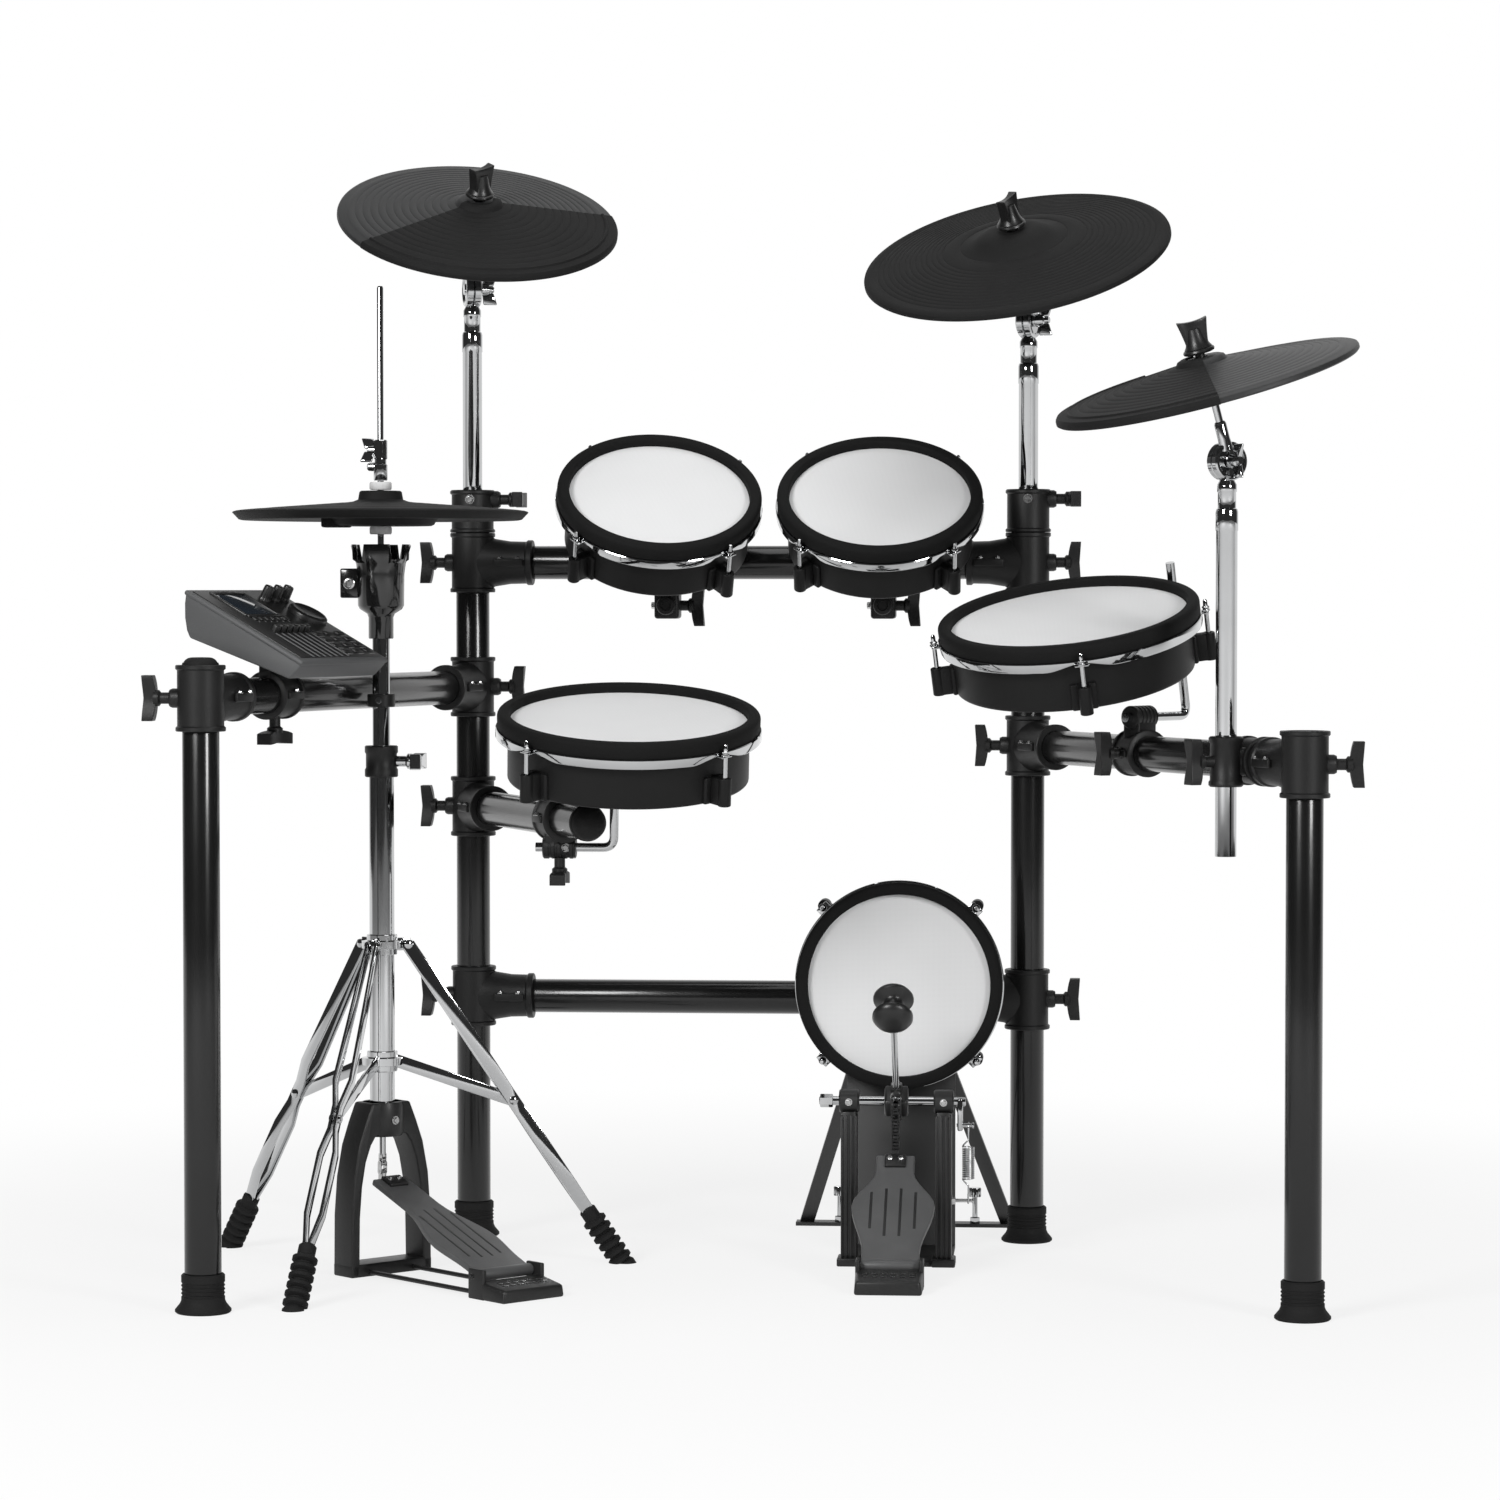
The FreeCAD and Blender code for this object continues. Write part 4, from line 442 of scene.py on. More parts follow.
def tee(at, bar_way, knob_way):
    """One tee's moulding and screws: a flanged sleeve, an oval flare to the arm's end, and a knob boss."""
    post = Matrix.Translation(at)
    arm = facing(at, bar_way, Vector((0, 0, 1)))
    sleeve = turned("sleeve", [
        (tube_fit, -tee_half), (flange_radius - 0.8 * MM, -tee_half), (flange_radius, -tee_half + 0.8 * MM),
        (flange_radius, -tee_half + 4 * MM), (tee_radius, -tee_half + 5.5 * MM),
        (tee_radius, tee_half - 5.5 * MM), (flange_radius, tee_half - 4 * MM),
        (flange_radius, tee_half - 0.8 * MM), (flange_radius - 0.8 * MM, tee_half), (tube_fit, tee_half)],
        post, 64)
    flare = turned("flare", [
        (tee_radius, 8 * MM), (tee_radius, 26 * MM), (tee_radius - 0.2 * MM, 44 * MM),
        (tee_radius, 62 * MM), (flange_radius, 64 * MM), (flange_radius, tee_reach - 0.8 * MM),
        (flange_radius - 0.8 * MM, tee_reach), (tube_fit, tee_reach), (tube_fit, 10 * MM)], None, 64)
    for vertex in flare.data.vertices:
        nearness = max(0.0, (58 * MM - vertex.co.z) / (50 * MM))
        if math.hypot(vertex.co.x, vertex.co.y) > tube_fit + 1 * MM:
            vertex.co.x *= 1 + 0.34 * nearness ** 2
            vertex.co.y *= 1 - 0.05 * nearness
        vertex.co.z = max(vertex.co.z, math.sqrt(max(0.0, tube_radius ** 2 - vertex.co.y ** 2)))
    flare.matrix_world = arm
    boss = turned("boss", [
        (10 * MM, 19.5 * MM), (10 * MM, boss_reach - 3 * MM), (9 * MM, boss_reach - 0.6 * MM),
        (8.4 * MM, boss_reach), (0, boss_reach)], upright(at, knob_way), 40)
    black = [sleeve, flare, boss]
    bright = []
    for side in (-1, 1):
        black.append(block("flange", (9, 5, 34), (0, side * 25.2, 44), arm, 1.6, 3))
        for along in (34 * MM, 54 * MM):
            bright += hex_screw(
                arm @ Vector((4.2 * MM, side * 26 * MM, along)), arm.to_3x3() @ Vector((1, 0, 0)), 2.6 * MM,
                3 * MM)
    return black, bright


def subdivided(piece, cuts):
    """Cuts a piece's faces into a grid, so that it can be shaped between its corners."""
    alone(piece)
    bpy.ops.object.mode_set(mode="EDIT")
    bpy.ops.mesh.select_all(action="SELECT")
    bpy.ops.mesh.subdivide(number_cuts=cuts)
    bpy.ops.object.mode_set(mode="OBJECT")


def t_handle(at, way, across):
    """A moulded T-handle on its screw: a stem and collar, and a bar waisted in its middle."""
    place = facing(at, way, across)
    stem = turned("stem", mm((0, -1), (5.9, -1), (5.9, 9), (8.4, 11), (8.4, 16), (0, 16)), place, 32)
    bar_long = 47
    bar = block("bar", (bar_long, 17, 15), (0, 0, 20.5), place)
    subdivided(bar, 11)
    for vertex in bar.data.vertices:
        reach = abs(vertex.co.x) / (bar_long / 2 * MM)
        vertex.co.y *= 0.62 + 0.38 * math.sin(min(reach, 0.9) * 1.75) ** 2
        if vertex.co.z > 0:
            vertex.co.z *= 0.78 + 0.22 * reach
        else:
            vertex.co.z *= 1 - 0.5 * reach ** 2
    rounded(bar, 2.2 * MM, 3, 48)
    return [stem, bar]


def joint_at(name):
    """Where a joint turns or slides."""
    return Vector(joints[name]["pos_m"])


on_floor = Vector((1, 1, 0))
left_post = joint_at("left_wing_swing") * on_floor
right_post = joint_at("right_wing_swing") * on_floor
up = Vector((0, 0, 1))
right = Vector((1, 0, 0))
back = Vector((0, 1, 0))
tube_radius = 19.05 * MM


def middle_of(node):
    """The middle of a solid's box."""
    low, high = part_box(node)
    return (Vector(low) + Vector(high)) / 2


bar_low = up * (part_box("crossbars")[0].z + tube_radius)
bar_high = up * (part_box("crossbars")[1].z - tube_radius)
arm_mid = middle_of("snare_arm")
arm_way = ((arm_mid - left_post) * on_floor).normalized()
arm_rise = up * arm_mid.z
rear_tees = [(left_post + bar_high, right, -right), (left_post + bar_low, right, -right),
             (right_post + bar_high, -right, right), (right_post + bar_low, -right, right),
             (left_post + arm_rise, arm_way, -right)]
collar_foot = bar_high + up * (tee_half + 0.5 * MM)
collar_top = 83 * MM - tee_half - 0.5 * MM
collar_boss = collar_top - 11 * MM
black, bright, handles = [], [], []
for at, bar_way, knob_way in rear_tees:
    made = tee(at, bar_way, knob_way)
    black += made[0]
    bright += made[1]
    handles += t_handle(at + knob_way * boss_reach, knob_way, up)
for post in (left_post, right_post):
    black.append(turned("collar", [
        (tube_fit, 0), (flange_radius - 0.8 * MM, 0), (flange_radius, 0.8 * MM), (flange_radius, 3 * MM),
        (tee_radius, 4.5 * MM), (tee_radius, collar_top - 5.5 * MM), (flange_radius, collar_top - 4 * MM),
        (flange_radius, collar_top - 1.5 * MM), (flange_radius - 1.5 * MM, collar_top),
        (11.2 * MM, collar_top), (11.2 * MM, 29 * MM)], Matrix.Translation(post + collar_foot), 64))
    black.append(turned("boss", [
        (10 * MM, 20 * MM), (10 * MM, boss_reach - 3 * MM), (8.4 * MM, boss_reach), (0, boss_reach)],
        upright(post + collar_foot + up * collar_boss, right), 40))
    bright += hex_screw(post + collar_foot + up * collar_boss - back * tee_radius, -back, 4 * MM, 4 * MM)
    handles += t_handle(post + collar_foot + up * collar_boss + right * boss_reach, right, back)
dress(joined("rear_tees", black), nylon_black, "rack", "clamp_plastic", "rear_clamps")
dress(joined("rear_tee_screws", bright), zinc, "rack", "bright_steel")
dress(joined("rear_tee_handles", handles), nylon_black, "rack", "clamp_plastic", "clamp_knobs")
for side, post, sign in (("left", left_post, -1), ("right", right_post, 1)):
    leg = middle_of(f"front_leg_{side}") * on_floor
    rise = up * middle_of(f"side_bar_{side}").z
    way = (leg - post).normalized()
    black, bright = [], []
    for at, bar_way, knob_way in ((post + rise, way, right * -sign), (leg + rise, -way, right * sign)):
        made = tee(at, bar_way, knob_way)
        black += made[0] + t_handle(at + knob_way * boss_reach, knob_way, up)
        bright += made[1]
    dress(
        joined(f"wing_tees_{side}", black), nylon_black, f"{side}_wing", "clamp_plastic",
        f"wing_clamps_{side}")
    dress(joined(f"wing_tee_screws_{side}", bright), zinc, f"{side}_wing", "bright_steel")

# Feet and caps: soft rubber cups with ribbed waists, pushed over the four tube ends on the floor, and
# plain domed caps pressed into the open ends of the front legs.
foot_black = grained(
    "foot_rubber", grey(0.006), grey(0.012), rough=(0.62, 0.22), fine=(600.0, 3.0), coarse=(15.0, 3.0),
    bump=(0.00015, 0.6), Specular_IOR_Level=0.25)


def rubber_foot(at):
    """A cup with a spread tread: a ring of ribs round its waist, a step and a rounded floor edge."""
    waist = 22.5 * MM
    ribs = [point for step in range(4) for point in (
        (waist, (16.5 + 4 * step) * MM), (waist - 0.9 * MM, (17.3 + 4 * step) * MM),
        (waist - 0.9 * MM, (19 + 4 * step) * MM), (waist, (19.8 + 4 * step) * MM))]
    return turned("foot", [
        *mm((0, 0), (27.4, 0), (29, 1.4), (29, 3.4), (28, 4.6), (24, 9.5)), (waist, 13 * MM), *ribs,
        (waist, 38.6 * MM), (waist - 1.4 * MM, 40 * MM), (tube_fit, 40 * MM), (tube_fit, 5 * MM)],
        Matrix.Translation(at), 72)


def tube_cap(at, way):
    """A plug with a thin lip and a flattened dome."""
    return turned("cap", [
        *mm((0, -2), (18, -2), (18, 0.2), (19, 0.6), (19.05, 5), (18.4, 7.4)),
        *arc((9 * MM, 3.4 * MM), 9.4 * MM, 24, 90, 6), (0, 13 * MM)], upright(at, way), 64)


feet = [rubber_foot(left_post), rubber_foot(right_post)]
dress(joined("rear_rubber_feet", feet), foot_black, "rack", "foot_rubber", "rear_feet")
for side in ("left", "right"):
    leg = middle_of(f"front_leg_{side}") * on_floor
    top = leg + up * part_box(f"front_leg_{side}")[1].z
    dress(
        joined(f"leg_trim_rubber_{side}", [rubber_foot(leg), tube_cap(top, up)]), foot_black,
        f"{side}_wing", "foot_rubber", f"leg_trim_{side}")

# Short arm: the same black tube, held in its tee on the left post. A round push-on cap closes the end
# that shows under the snare.


def halved(piece, point, normal):
    """Cuts a piece by a plane, drops what is on the normal's side and closes the cut."""
    alone(piece)
    bpy.ops.object.mode_set(mode="EDIT")
    bpy.ops.mesh.select_all(action="SELECT")
    bpy.ops.mesh.bisect(plane_co=point, plane_no=normal, use_fill=True, clear_outer=True)
    bpy.ops.object.mode_set(mode="OBJECT")
    return piece


reach_out = max((vertex.co - left_post).dot(arm_way) for vertex in nodes["snare_arm"].data.vertices)
cap_foot = left_post + arm_rise + arm_way * (reach_out - 17 * MM)
arm = eased("snare_arm", "snare_arm_tube")
halved(arm, cap_foot, arm_way)
dress(arm, tube_black, "rack", "black_tube", "snare_arm")
dome = turned("snare_arm_cap", [
    *mm((0, -6), (19.2, -6), (20, -5.2), (20, -1), (19.2, 0)), *arc((3 * MM, 1 * MM), 16 * MM, 0, 90, 8),
    (0, 17 * MM)], upright(cap_foot, arm_way), 64)
dress(dome, foot_black, "rack", "foot_rubber")

# Drum pads: each has a moulded black shell with four cylindrical lugs on gussets, a white two-ply mesh
# head, and a pressed chrome hoop under a thick rubber rim, drawn down by four chrome tension rods.
shell_black = grained(
    "shell_moulding", grey(0.005), grey(0.009), rough=(0.40, 0.16), fine=(900.0, 2.0), coarse=(14.0, 2.0),
    bump=(0.00012, 0.6), Specular_IOR_Level=0.2)
rubber_black = grained(
    "rim_rubber", grey(0.005), grey(0.010), rough=(0.68, 0.2), fine=(700.0, 3.0), coarse=(11.0, 3.0),
    bump=(0.00015, 0.6), Specular_IOR_Level=0.14)
chrome = grained(
    "chrome_plate", grey(0.50, 0.01), grey(0.60, 0.01), rough=(0.03, 0.06), fine=(22.0, 3.0), Metallic=1.0)


def disc_of(node, towards):
    """The middle, normal and radius of a flat round solid."""
    points = np.array([vertex.co for vertex in nodes[node].data.vertices])
    middle = (points.min(axis=0) + points.max(axis=0)) / 2
    normal = Vector(np.linalg.svd(points - middle, full_matrices=False)[2][2])
    if normal.dot(towards) < 0:
        normal.negate()
    return Vector(middle), normal, float(np.linalg.norm(points - middle, axis=1).max())


def mesh_cloth(name, place):
    """White woven mesh, its threads square on the head."""
    cloth = Finish(name)
    spot = cloth.place(place.translation, place.to_euler())
    waves = [cloth.add("ShaderNodeTexWave", {"bands_direction": way, "wave_profile": "SIN"},
                       {"Vector": spot, "Scale": 230.0})["Fac"] for way in ("X", "Y")]
    thread = cloth.add("ShaderNodeMath", {"operation": "MAXIMUM"}, {0: waves[0], 1: waves[1]})["Value"]
    cloud = cloth.noise(7.0, 2.0)
    return cloth.set(
        Base_Color=cloth.between(grey(0.60, 0.004), grey(0.78, 0.004), thread * 0.5 + cloud * 0.5),
        Roughness=0.72 + cloud * 0.1, Specular_IOR_Level=0.1, Normal=cloth.bump(thread, 0.0001, 0.4))


rim_height = 17 * MM
rim_width = 13.5 * MM
rim_round = 5 * MM
head_drop = 9 * MM
head_gap = 0.3 * MM
hoop_height = 10 * MM
hoop_proud = 1.5 * MM
hoop_wall = 2.2 * MM
shell_depth = 47 * MM
shell_inset = 11.5 * MM
lug_out = 4.5 * MM
lug_radius = 7 * MM
lug_height = 30 * MM
rod_radius = 2.5 * MM
base_depth = rim_height + hoop_height + shell_depth


def hoop_foot(turn, turns):
    """How far the hoop's lower edge rises at an angle: it sweeps up to the ear at each rod."""
    nearest = min(abs((turn - rod + 180) % 360 - 180) for rod in turns)
    lift = max(0.0, 1 - nearest / 16.0)
    return hoop_height * 0.72 * lift * lift * (3 - 2 * lift)


def tension_rod(place, x, y):
    """A rod from the lug up through the hoop's ear, with its washer, collar and square drive head."""
    low = -base_depth + lug_height
    ear = -rim_height - 2.5 * MM
    outline = [(0, low), (rod_radius, low), (rod_radius, ear), (4.6 * MM, ear), (4.6 * MM, ear + 1.2 * MM),
               (3.2 * MM, ear + 1.2 * MM), (3.2 * MM, ear + 2.4 * MM), (4.1 * MM, ear + 3.2 * MM),
               (4.1 * MM, ear + 4.4 * MM), (2.6 * MM, ear + 5.4 * MM), (2.3 * MM, ear + 11 * MM),
               (1.4 * MM, ear + 12.4 * MM), (0, ear + 12.4 * MM)]
    return turned("rod", outline, place @ Matrix.Translation((x, y, 0)), 16)


def drum_pad(name, lug_turn, towards):
    """One pad: its shell with lugs, rubber rim, chrome hoop with ears and rods, and mesh head."""
    middle, normal, head_radius = disc_of(f"{name}_head", towards)
    place = upright(middle + normal * (head_drop + 0.5 * MM), normal)
    body = body_of(f"{name}_head")
    rim = head_radius + head_gap + rim_width
    inner = rim - rim_width
    wall = rim - shell_inset
    turns = [lug_turn + 90 * step for step in range(4)]
    shell = turned(f"{name}_shell_moulding", [
        (0, -base_depth + 3 * MM), (wall - 22 * MM, -base_depth + 3 * MM), (wall - 20 * MM, -base_depth),
        *arc((wall - 4 * MM, -base_depth + 4 * MM), 4 * MM, -90, 0),
        (wall, -rim_height - hoop_height + 1 * MM), (wall - 2 * MM, -rim_height - hoop_height + 1 * MM),
        (wall - 2 * MM, -head_drop - 3 * MM), (wall - 6 * MM, -head_drop - 3 * MM),
        (wall - 6 * MM, -base_depth + 7 * MM), (0, -base_depth + 7 * MM)], place, 128)
    lugs = []
    reach = rim + hoop_proud + lug_out
    for turn in turns:
        angle = math.radians(turn)
        x, y = reach * math.cos(angle), reach * math.sin(angle)
        lugs.append(turned("lug", [
            (0, -base_depth), *arc((lug_radius - 1.2 * MM, -base_depth + 1.2 * MM), 1.2 * MM, -90, 0, 3),
            *arc((lug_radius - 1 * MM, -base_depth + lug_height - 1 * MM), 1 * MM, 0, 90, 3),
            (3.4 * MM, -base_depth + lug_height), (3.4 * MM, -base_depth + lug_height - 3 * MM),
            (0, -base_depth + lug_height - 3 * MM)], place @ Matrix.Translation((x, y, 0)), 28))
        web = reach - wall + 2 * MM
        lug_mid = -base_depth + lug_height / 2
        spot = place @ Matrix.Rotation(angle, 4, "Z")
        lugs.append(brick(
            "gusset", (web, lug_radius * 1.75, lug_height - 0.6 * MM), (reach - web / 2, 0, lug_mid), spot,
            1.6 * MM))
        for side in (-1, 1):
            lugs.append(brick(
                "flare", (6 * MM, 12 * MM, lug_height - 0.9 * MM),
                (wall + 0.5 * MM, side * lug_radius * 1.15, lug_mid), spot, 2.4 * MM, 3))
    dress(
        joined(f"{name}_shell_moulding", [shell, *lugs]), shell_black, body, "shell_plastic",
        f"{name}_shell")
    rim_ring = turned(f"{name}_rim", [
        (inner, -rim_height), (rim - 1.5 * MM, -rim_height), (rim - 0.2 * MM, -rim_height + 2 * MM),
        *arc((rim - rim_round, -rim_round), rim_round, 0, 90),
        *arc((inner + 3 * MM, -3 * MM), 3 * MM, 90, 180, 4), (inner, -rim_height)], place, 160)
    dress(rim_ring, rubber_black, body, "hoop_rubber")
    out = rim + hoop_proud
    hoop = turned(f"{name}_hoop_band", [
        (out - hoop_wall, -rim_height - hoop_height), (out - 0.6 * MM, -rim_height - hoop_height),
        (out, -rim_height - hoop_height + 1 * MM), (out, -rim_height - 1 * MM),
        (out - 0.8 * MM, -rim_height - 0.1 * MM), (out - 7 * MM, -rim_height - 0.1 * MM),
        (out - 7 * MM, -rim_height - 1.5 * MM), (out - hoop_wall, -rim_height - 1.5 * MM),
        (out - hoop_wall, -rim_height - hoop_height)], None, 192)
    for vertex in hoop.data.vertices:
        if vertex.co.z < -rim_height - hoop_height / 2:
            vertex.co.z += hoop_foot(math.degrees(math.atan2(vertex.co.y, vertex.co.x)), turns)
    hoop.matrix_world = place
    bright = [hoop]
    for turn in turns:
        angle = math.radians(turn)
        spot = place @ Matrix.Rotation(angle, 4, "Z")
        ear_long = lug_out + 9 * MM
        bright.append(brick(
            "ear", (ear_long, 15 * MM, 2 * MM), (reach + 3 * MM - ear_long / 2, 0, -rim_height - 3.6 * MM),
            spot, 0.8 * MM))
        bright.append(tension_rod(place, reach * math.cos(angle), reach * math.sin(angle)))
    dress(joined(f"{name}_hoop_band", bright), chrome, body, "stand_chrome", f"{name}_hoop")
    head = turned(f"{name}_mesh", [
        (0, -head_drop), (inner * 0.5, -head_drop), (inner * 0.93, -head_drop - 0.05 * MM),
        (inner - 0.1 * MM, -head_drop - 0.7 * MM), (inner - 0.1 * MM, -head_drop - 2 * MM),
        (0, -head_drop - 2 * MM)], place, 128)
    dress(head, mesh_cloth(f"{name}_mesh_cloth", place), body, "mesh", f"{name}_head")
    return place


drum_places = {}
for name, lug_turn, towards in (
        ("snare", -41, up), ("tom_left", -45, up), ("tom_right", -45, up), ("floor_tom", 5, up),
        ("kick", 45, -back)):
    drum_places[name] = drum_pad(name, lug_turn, towards)

# Drum mounts: black clamps on the bars with split sockets. The two larger drums hang on bent chrome rods,
# the two rack drums on short chrome necks whose hubs tilt between the ears of their clamps.
bar_clamp_half = 20 * MM
rod_thick = 5 * MM


def bent_rod(name, points, radius, bend):
    """A round rod with smooth bends at its corners and slightly rounded ends."""
    path = [points[0]]
    for before, corner, after in zip(points, points[1:], points[2:]):
        start = corner - (corner - before).normalized() * bend
        end = corner + (after - corner).normalized() * bend
        for step in range(11):
            share = step / 10
            path.append(start * (1 - share) ** 2 + corner * (2 * share * (1 - share)) + end * share ** 2)
    path.append(points[-1])
    line = bpy.data.curves.new(name, "CURVE")
    line.dimensions = "3D"
    spline = line.splines.new("POLY")
    spline.points.add(len(path) - 1)
    for spot, point in zip(spline.points, path):
        spot.co = (*point, 1)
    line.bevel_depth = radius
    line.bevel_resolution = 8
    line.use_fill_caps = True
    piece = bpy.data.objects.new(name, line)
    bpy.context.scene.collection.objects.link(piece)
    alone(piece)
    bpy.ops.object.convert(target="MESH")
    return rounded(bpy.context.object, radius * 0.2, 2, 60)


def bar_sleeve(at, bar_way):
    """A split collar round a bar: flanged ends and a pair of screwed lips."""
    place = facing(at, bar_way, up)
    ring = turned("ring", [
        (tube_fit, -bar_clamp_half), (tee_radius + 0.4 * MM, -bar_clamp_half),
        (flange_radius, -bar_clamp_half + 1 * MM), (flange_radius, -bar_clamp_half + 4 * MM),
        (tee_radius, -bar_clamp_half + 5 * MM), (tee_radius, bar_clamp_half - 5 * MM),
        (flange_radius, bar_clamp_half - 4 * MM), (flange_radius, bar_clamp_half - 1 * MM),
        (tee_radius + 0.4 * MM, bar_clamp_half), (tube_fit, bar_clamp_half)], place, 64)
    lips = [block("lip", (8, 5, 30), (0, side * 25, 0), place, 1.6, 3) for side in (-1, 1)]
    screws = []
    for side in (-1, 1):
        screws += hex_screw(
            place @ Vector((3.6 * MM, side * 26 * MM, 0)), place.to_3x3() @ Vector((1, 0, 0)), 2.8 * MM,
            3.4 * MM)
    return [ring, *lips], screws


def ribbed_socket(at, way, towards, drop):
    """The socket for a bent rod: a ribbed barrel on a curved web from its bar clamp."""
    place = facing(at, way, towards)
    half = 18 * MM
    ribs = [point for step in range(5) for point in (
        (12.5 * MM, (-15 + 6.6 * step) * MM), (12.5 * MM, (-11.6 + 6.6 * step) * MM),
        (11.6 * MM, (-11 + 6.6 * step) * MM), (11.6 * MM, (-9 + 6.6 * step) * MM))]
    barrel = turned("barrel", [
        (5.1 * MM, -half), (11 * MM, -half), (12.5 * MM, -half + 1.4 * MM), *ribs,
        (12.5 * MM, half - 1.4 * MM), (11 * MM, half), (5.1 * MM, half)], place, 48)
    web = brick("web", (drop, 22 * MM, 32 * MM), (drop / 2, 0, 0), place, 3 * MM, 3)
    return [barrel, web]


black, bright, steel = [], [], []
snare_socket = joint_at("snare_tilt")
snare_grip = snare_socket + up * 31 * MM
made = bar_sleeve(snare_grip, arm_way)
black += made[0] + ribbed_socket(snare_socket, right, up, 30 * MM)
steel += made[1] + hex_screw(snare_socket - back * 11 * MM + right * 8 * MM, -back, 3.4 * MM, 4 * MM)
black += t_handle(snare_socket - up * 12.5 * MM, -up, back)
tom_lean = math.radians(35.6)
tom_rise = Vector((0, -math.sin(tom_lean), math.cos(tom_lean)))
for name in ("tom_left", "tom_right"):
    pivot = joint_at(f"{name}_tilt")
    on_bar = Vector((pivot.x, left_post.y, bar_high.z))
    made = bar_sleeve(on_bar, right)
    black += made[0]
    steel += made[1]
    drop = 64 * MM
    key_drop = 49 * MM
    black.append(brick(
        "body", (28 * MM, 40 * MM, drop - 12 * MM), (0, 0, -(drop + 12 * MM) / 2),
        Matrix.Translation(on_bar), 3.5 * MM, 3))
    black.append(block("cheek", (31, 26, 16), (0, 0, -27), Matrix.Translation(on_bar), 3, 3))
    wheel = upright(on_bar - back * 20 * MM - up * key_drop, -back)
    knurl = turned("wheel", mm(
        (0, 0), (10.4, 0), (11, 1), (11, 8), (9.6, 9.6), (6, 10), (5, 8.8), (0, 8.8)), wheel, 48)
    for vertex in knurl.data.vertices:
        turn = math.atan2(vertex.co.y, vertex.co.x)
        if math.hypot(vertex.co.x, vertex.co.y) > 10 * MM:
            notch = 1 - 0.035 * (round(turn * 24 / math.pi) % 2)
            vertex.co.x *= notch
            vertex.co.y *= notch
    black.append(knurl)
    steel += hex_screw(on_bar - right * 14 * MM - up * key_drop, -right, 4 * MM, 5 * MM)
    black += t_handle(on_bar + right * 14 * MM - up * key_drop, right, up)
    fork = facing(on_bar, tom_rise, right)
    for side in (-1, 1):
        out = side * 13.15 * MM
        black.append(brick("ear", (6 * MM, 18 * MM, 30 * MM), (out, 0, 24 * MM), fork, 1.2 * MM))
        black.append(turned(
            "ear_end", mm((0, -3), (8.2, -3), (9, -2.2), (9, 2.2), (8.2, 3), (0, 3)),
            upright(pivot + right * out, right), 40))
        bright += hex_screw(pivot + right * (side * 16.15 * MM), right * side, 5.4 * MM, 5 * MM)
    bright.append(turned("pin", mm((0, -16), (4, -16), (4, 16), (0, 16)), upright(pivot, right), 24))
    place = drum_places[name]
    axis = place.to_3x3() @ up
    reach = -(place.inverted() @ pivot).z - base_depth
    hub = turned("hub", mm(
        (4.1, -9.9), (8.2, -9.9), (9, -9), (9, 9), (8.2, 9.9), (4.1, 9.9)), upright(pivot, right), 40)
    neck = turned("neck", [
        (0, 6 * MM), (7 * MM, 6 * MM), (7 * MM, reach - 5 * MM), (9 * MM, reach - 3 * MM),
        (9 * MM, reach + 1 * MM), (0, reach + 1 * MM)], upright(pivot, axis), 36)
    dress(joined(f"{name}_neck", [hub, neck]), chrome, body_of(f"{name}_head"), "stand_chrome")
dress(joined("bar_mounts", black), nylon_black, "rack", "clamp_plastic", "drum_mounts")
dress(joined("bar_mount_screws", steel), zinc, "rack", "bright_steel")
dress(joined("tom_pivot_pins", bright), chrome, "rack", "bright_steel")
snare_place = drum_places["snare"]
snare_axis = snare_place.to_3x3() @ up
snare_bend = snare_socket + right * 59 * MM
snare_reach = -(snare_place.inverted() @ snare_bend).z - base_depth
snare_rod = bent_rod("snare_rod", [
    snare_socket - right * 26 * MM, snare_bend, snare_bend + snare_axis * snare_reach], rod_thick, 12 * MM)
snare_collar = turned(
    "collar", mm((5, -6.5), (10, -6.5), (11, -5.5), (11, 0.5), (5, 0.5)),
    upright(snare_bend + snare_axis * snare_reach, snare_axis), 40)
dress(joined("snare_bent_rod", [snare_rod, snare_collar]), chrome, "snare", "stand_chrome")
floor_place = drum_places["floor_tom"]
floor_axis = floor_place.to_3x3() @ up
floor_socket = joint_at("floor_tom_tilt")
rod_turn = math.radians(42)
rod_circle = 151.5 * MM
at_rim = floor_place @ Vector((rod_circle * math.cos(rod_turn), rod_circle * math.sin(rod_turn), 0))
floor_bend = at_rim - floor_axis * ((at_rim.z - floor_socket.z) / floor_axis.z)
socket_way = (floor_bend - floor_socket).normalized()
floor_rod = bent_rod("floor_rod", [
    floor_socket - socket_way * 26 * MM, floor_bend, at_rim + floor_axis * 14 * MM], rod_thick, 13 * MM)
dress(floor_rod, chrome, "floor_tom", "stand_chrome")
from_middle = at_rim - floor_place.translation
outward = (from_middle - floor_axis * from_middle.dot(floor_axis)).normalized()
bracket = facing(at_rim - floor_axis * 52 * MM, floor_axis, outward)
held = [
    block("bracket", (28, 24, 22), (-4, 0, 0), bracket, 3, 3),
    turned("barrel", mm((5.1, -13), (10, -13), (11, -12), (11, 12), (10, 13), (5.1, 13)), bracket, 40)]
dress(joined("floor_tom_bracket", held), shell_black, "floor_tom", "shell_plastic")
lock = turned(
    "lock", mm((0, 0), (5, 0), (5, 6), (7, 7), (7, 12), (5.6, 13), (0, 13)),
    upright(bracket @ Vector((2 * MM, 11 * MM, 0)), bracket.to_3x3() @ Vector((0, 1, 0))), 24)
dress(lock, chrome, "floor_tom", "bright_steel")

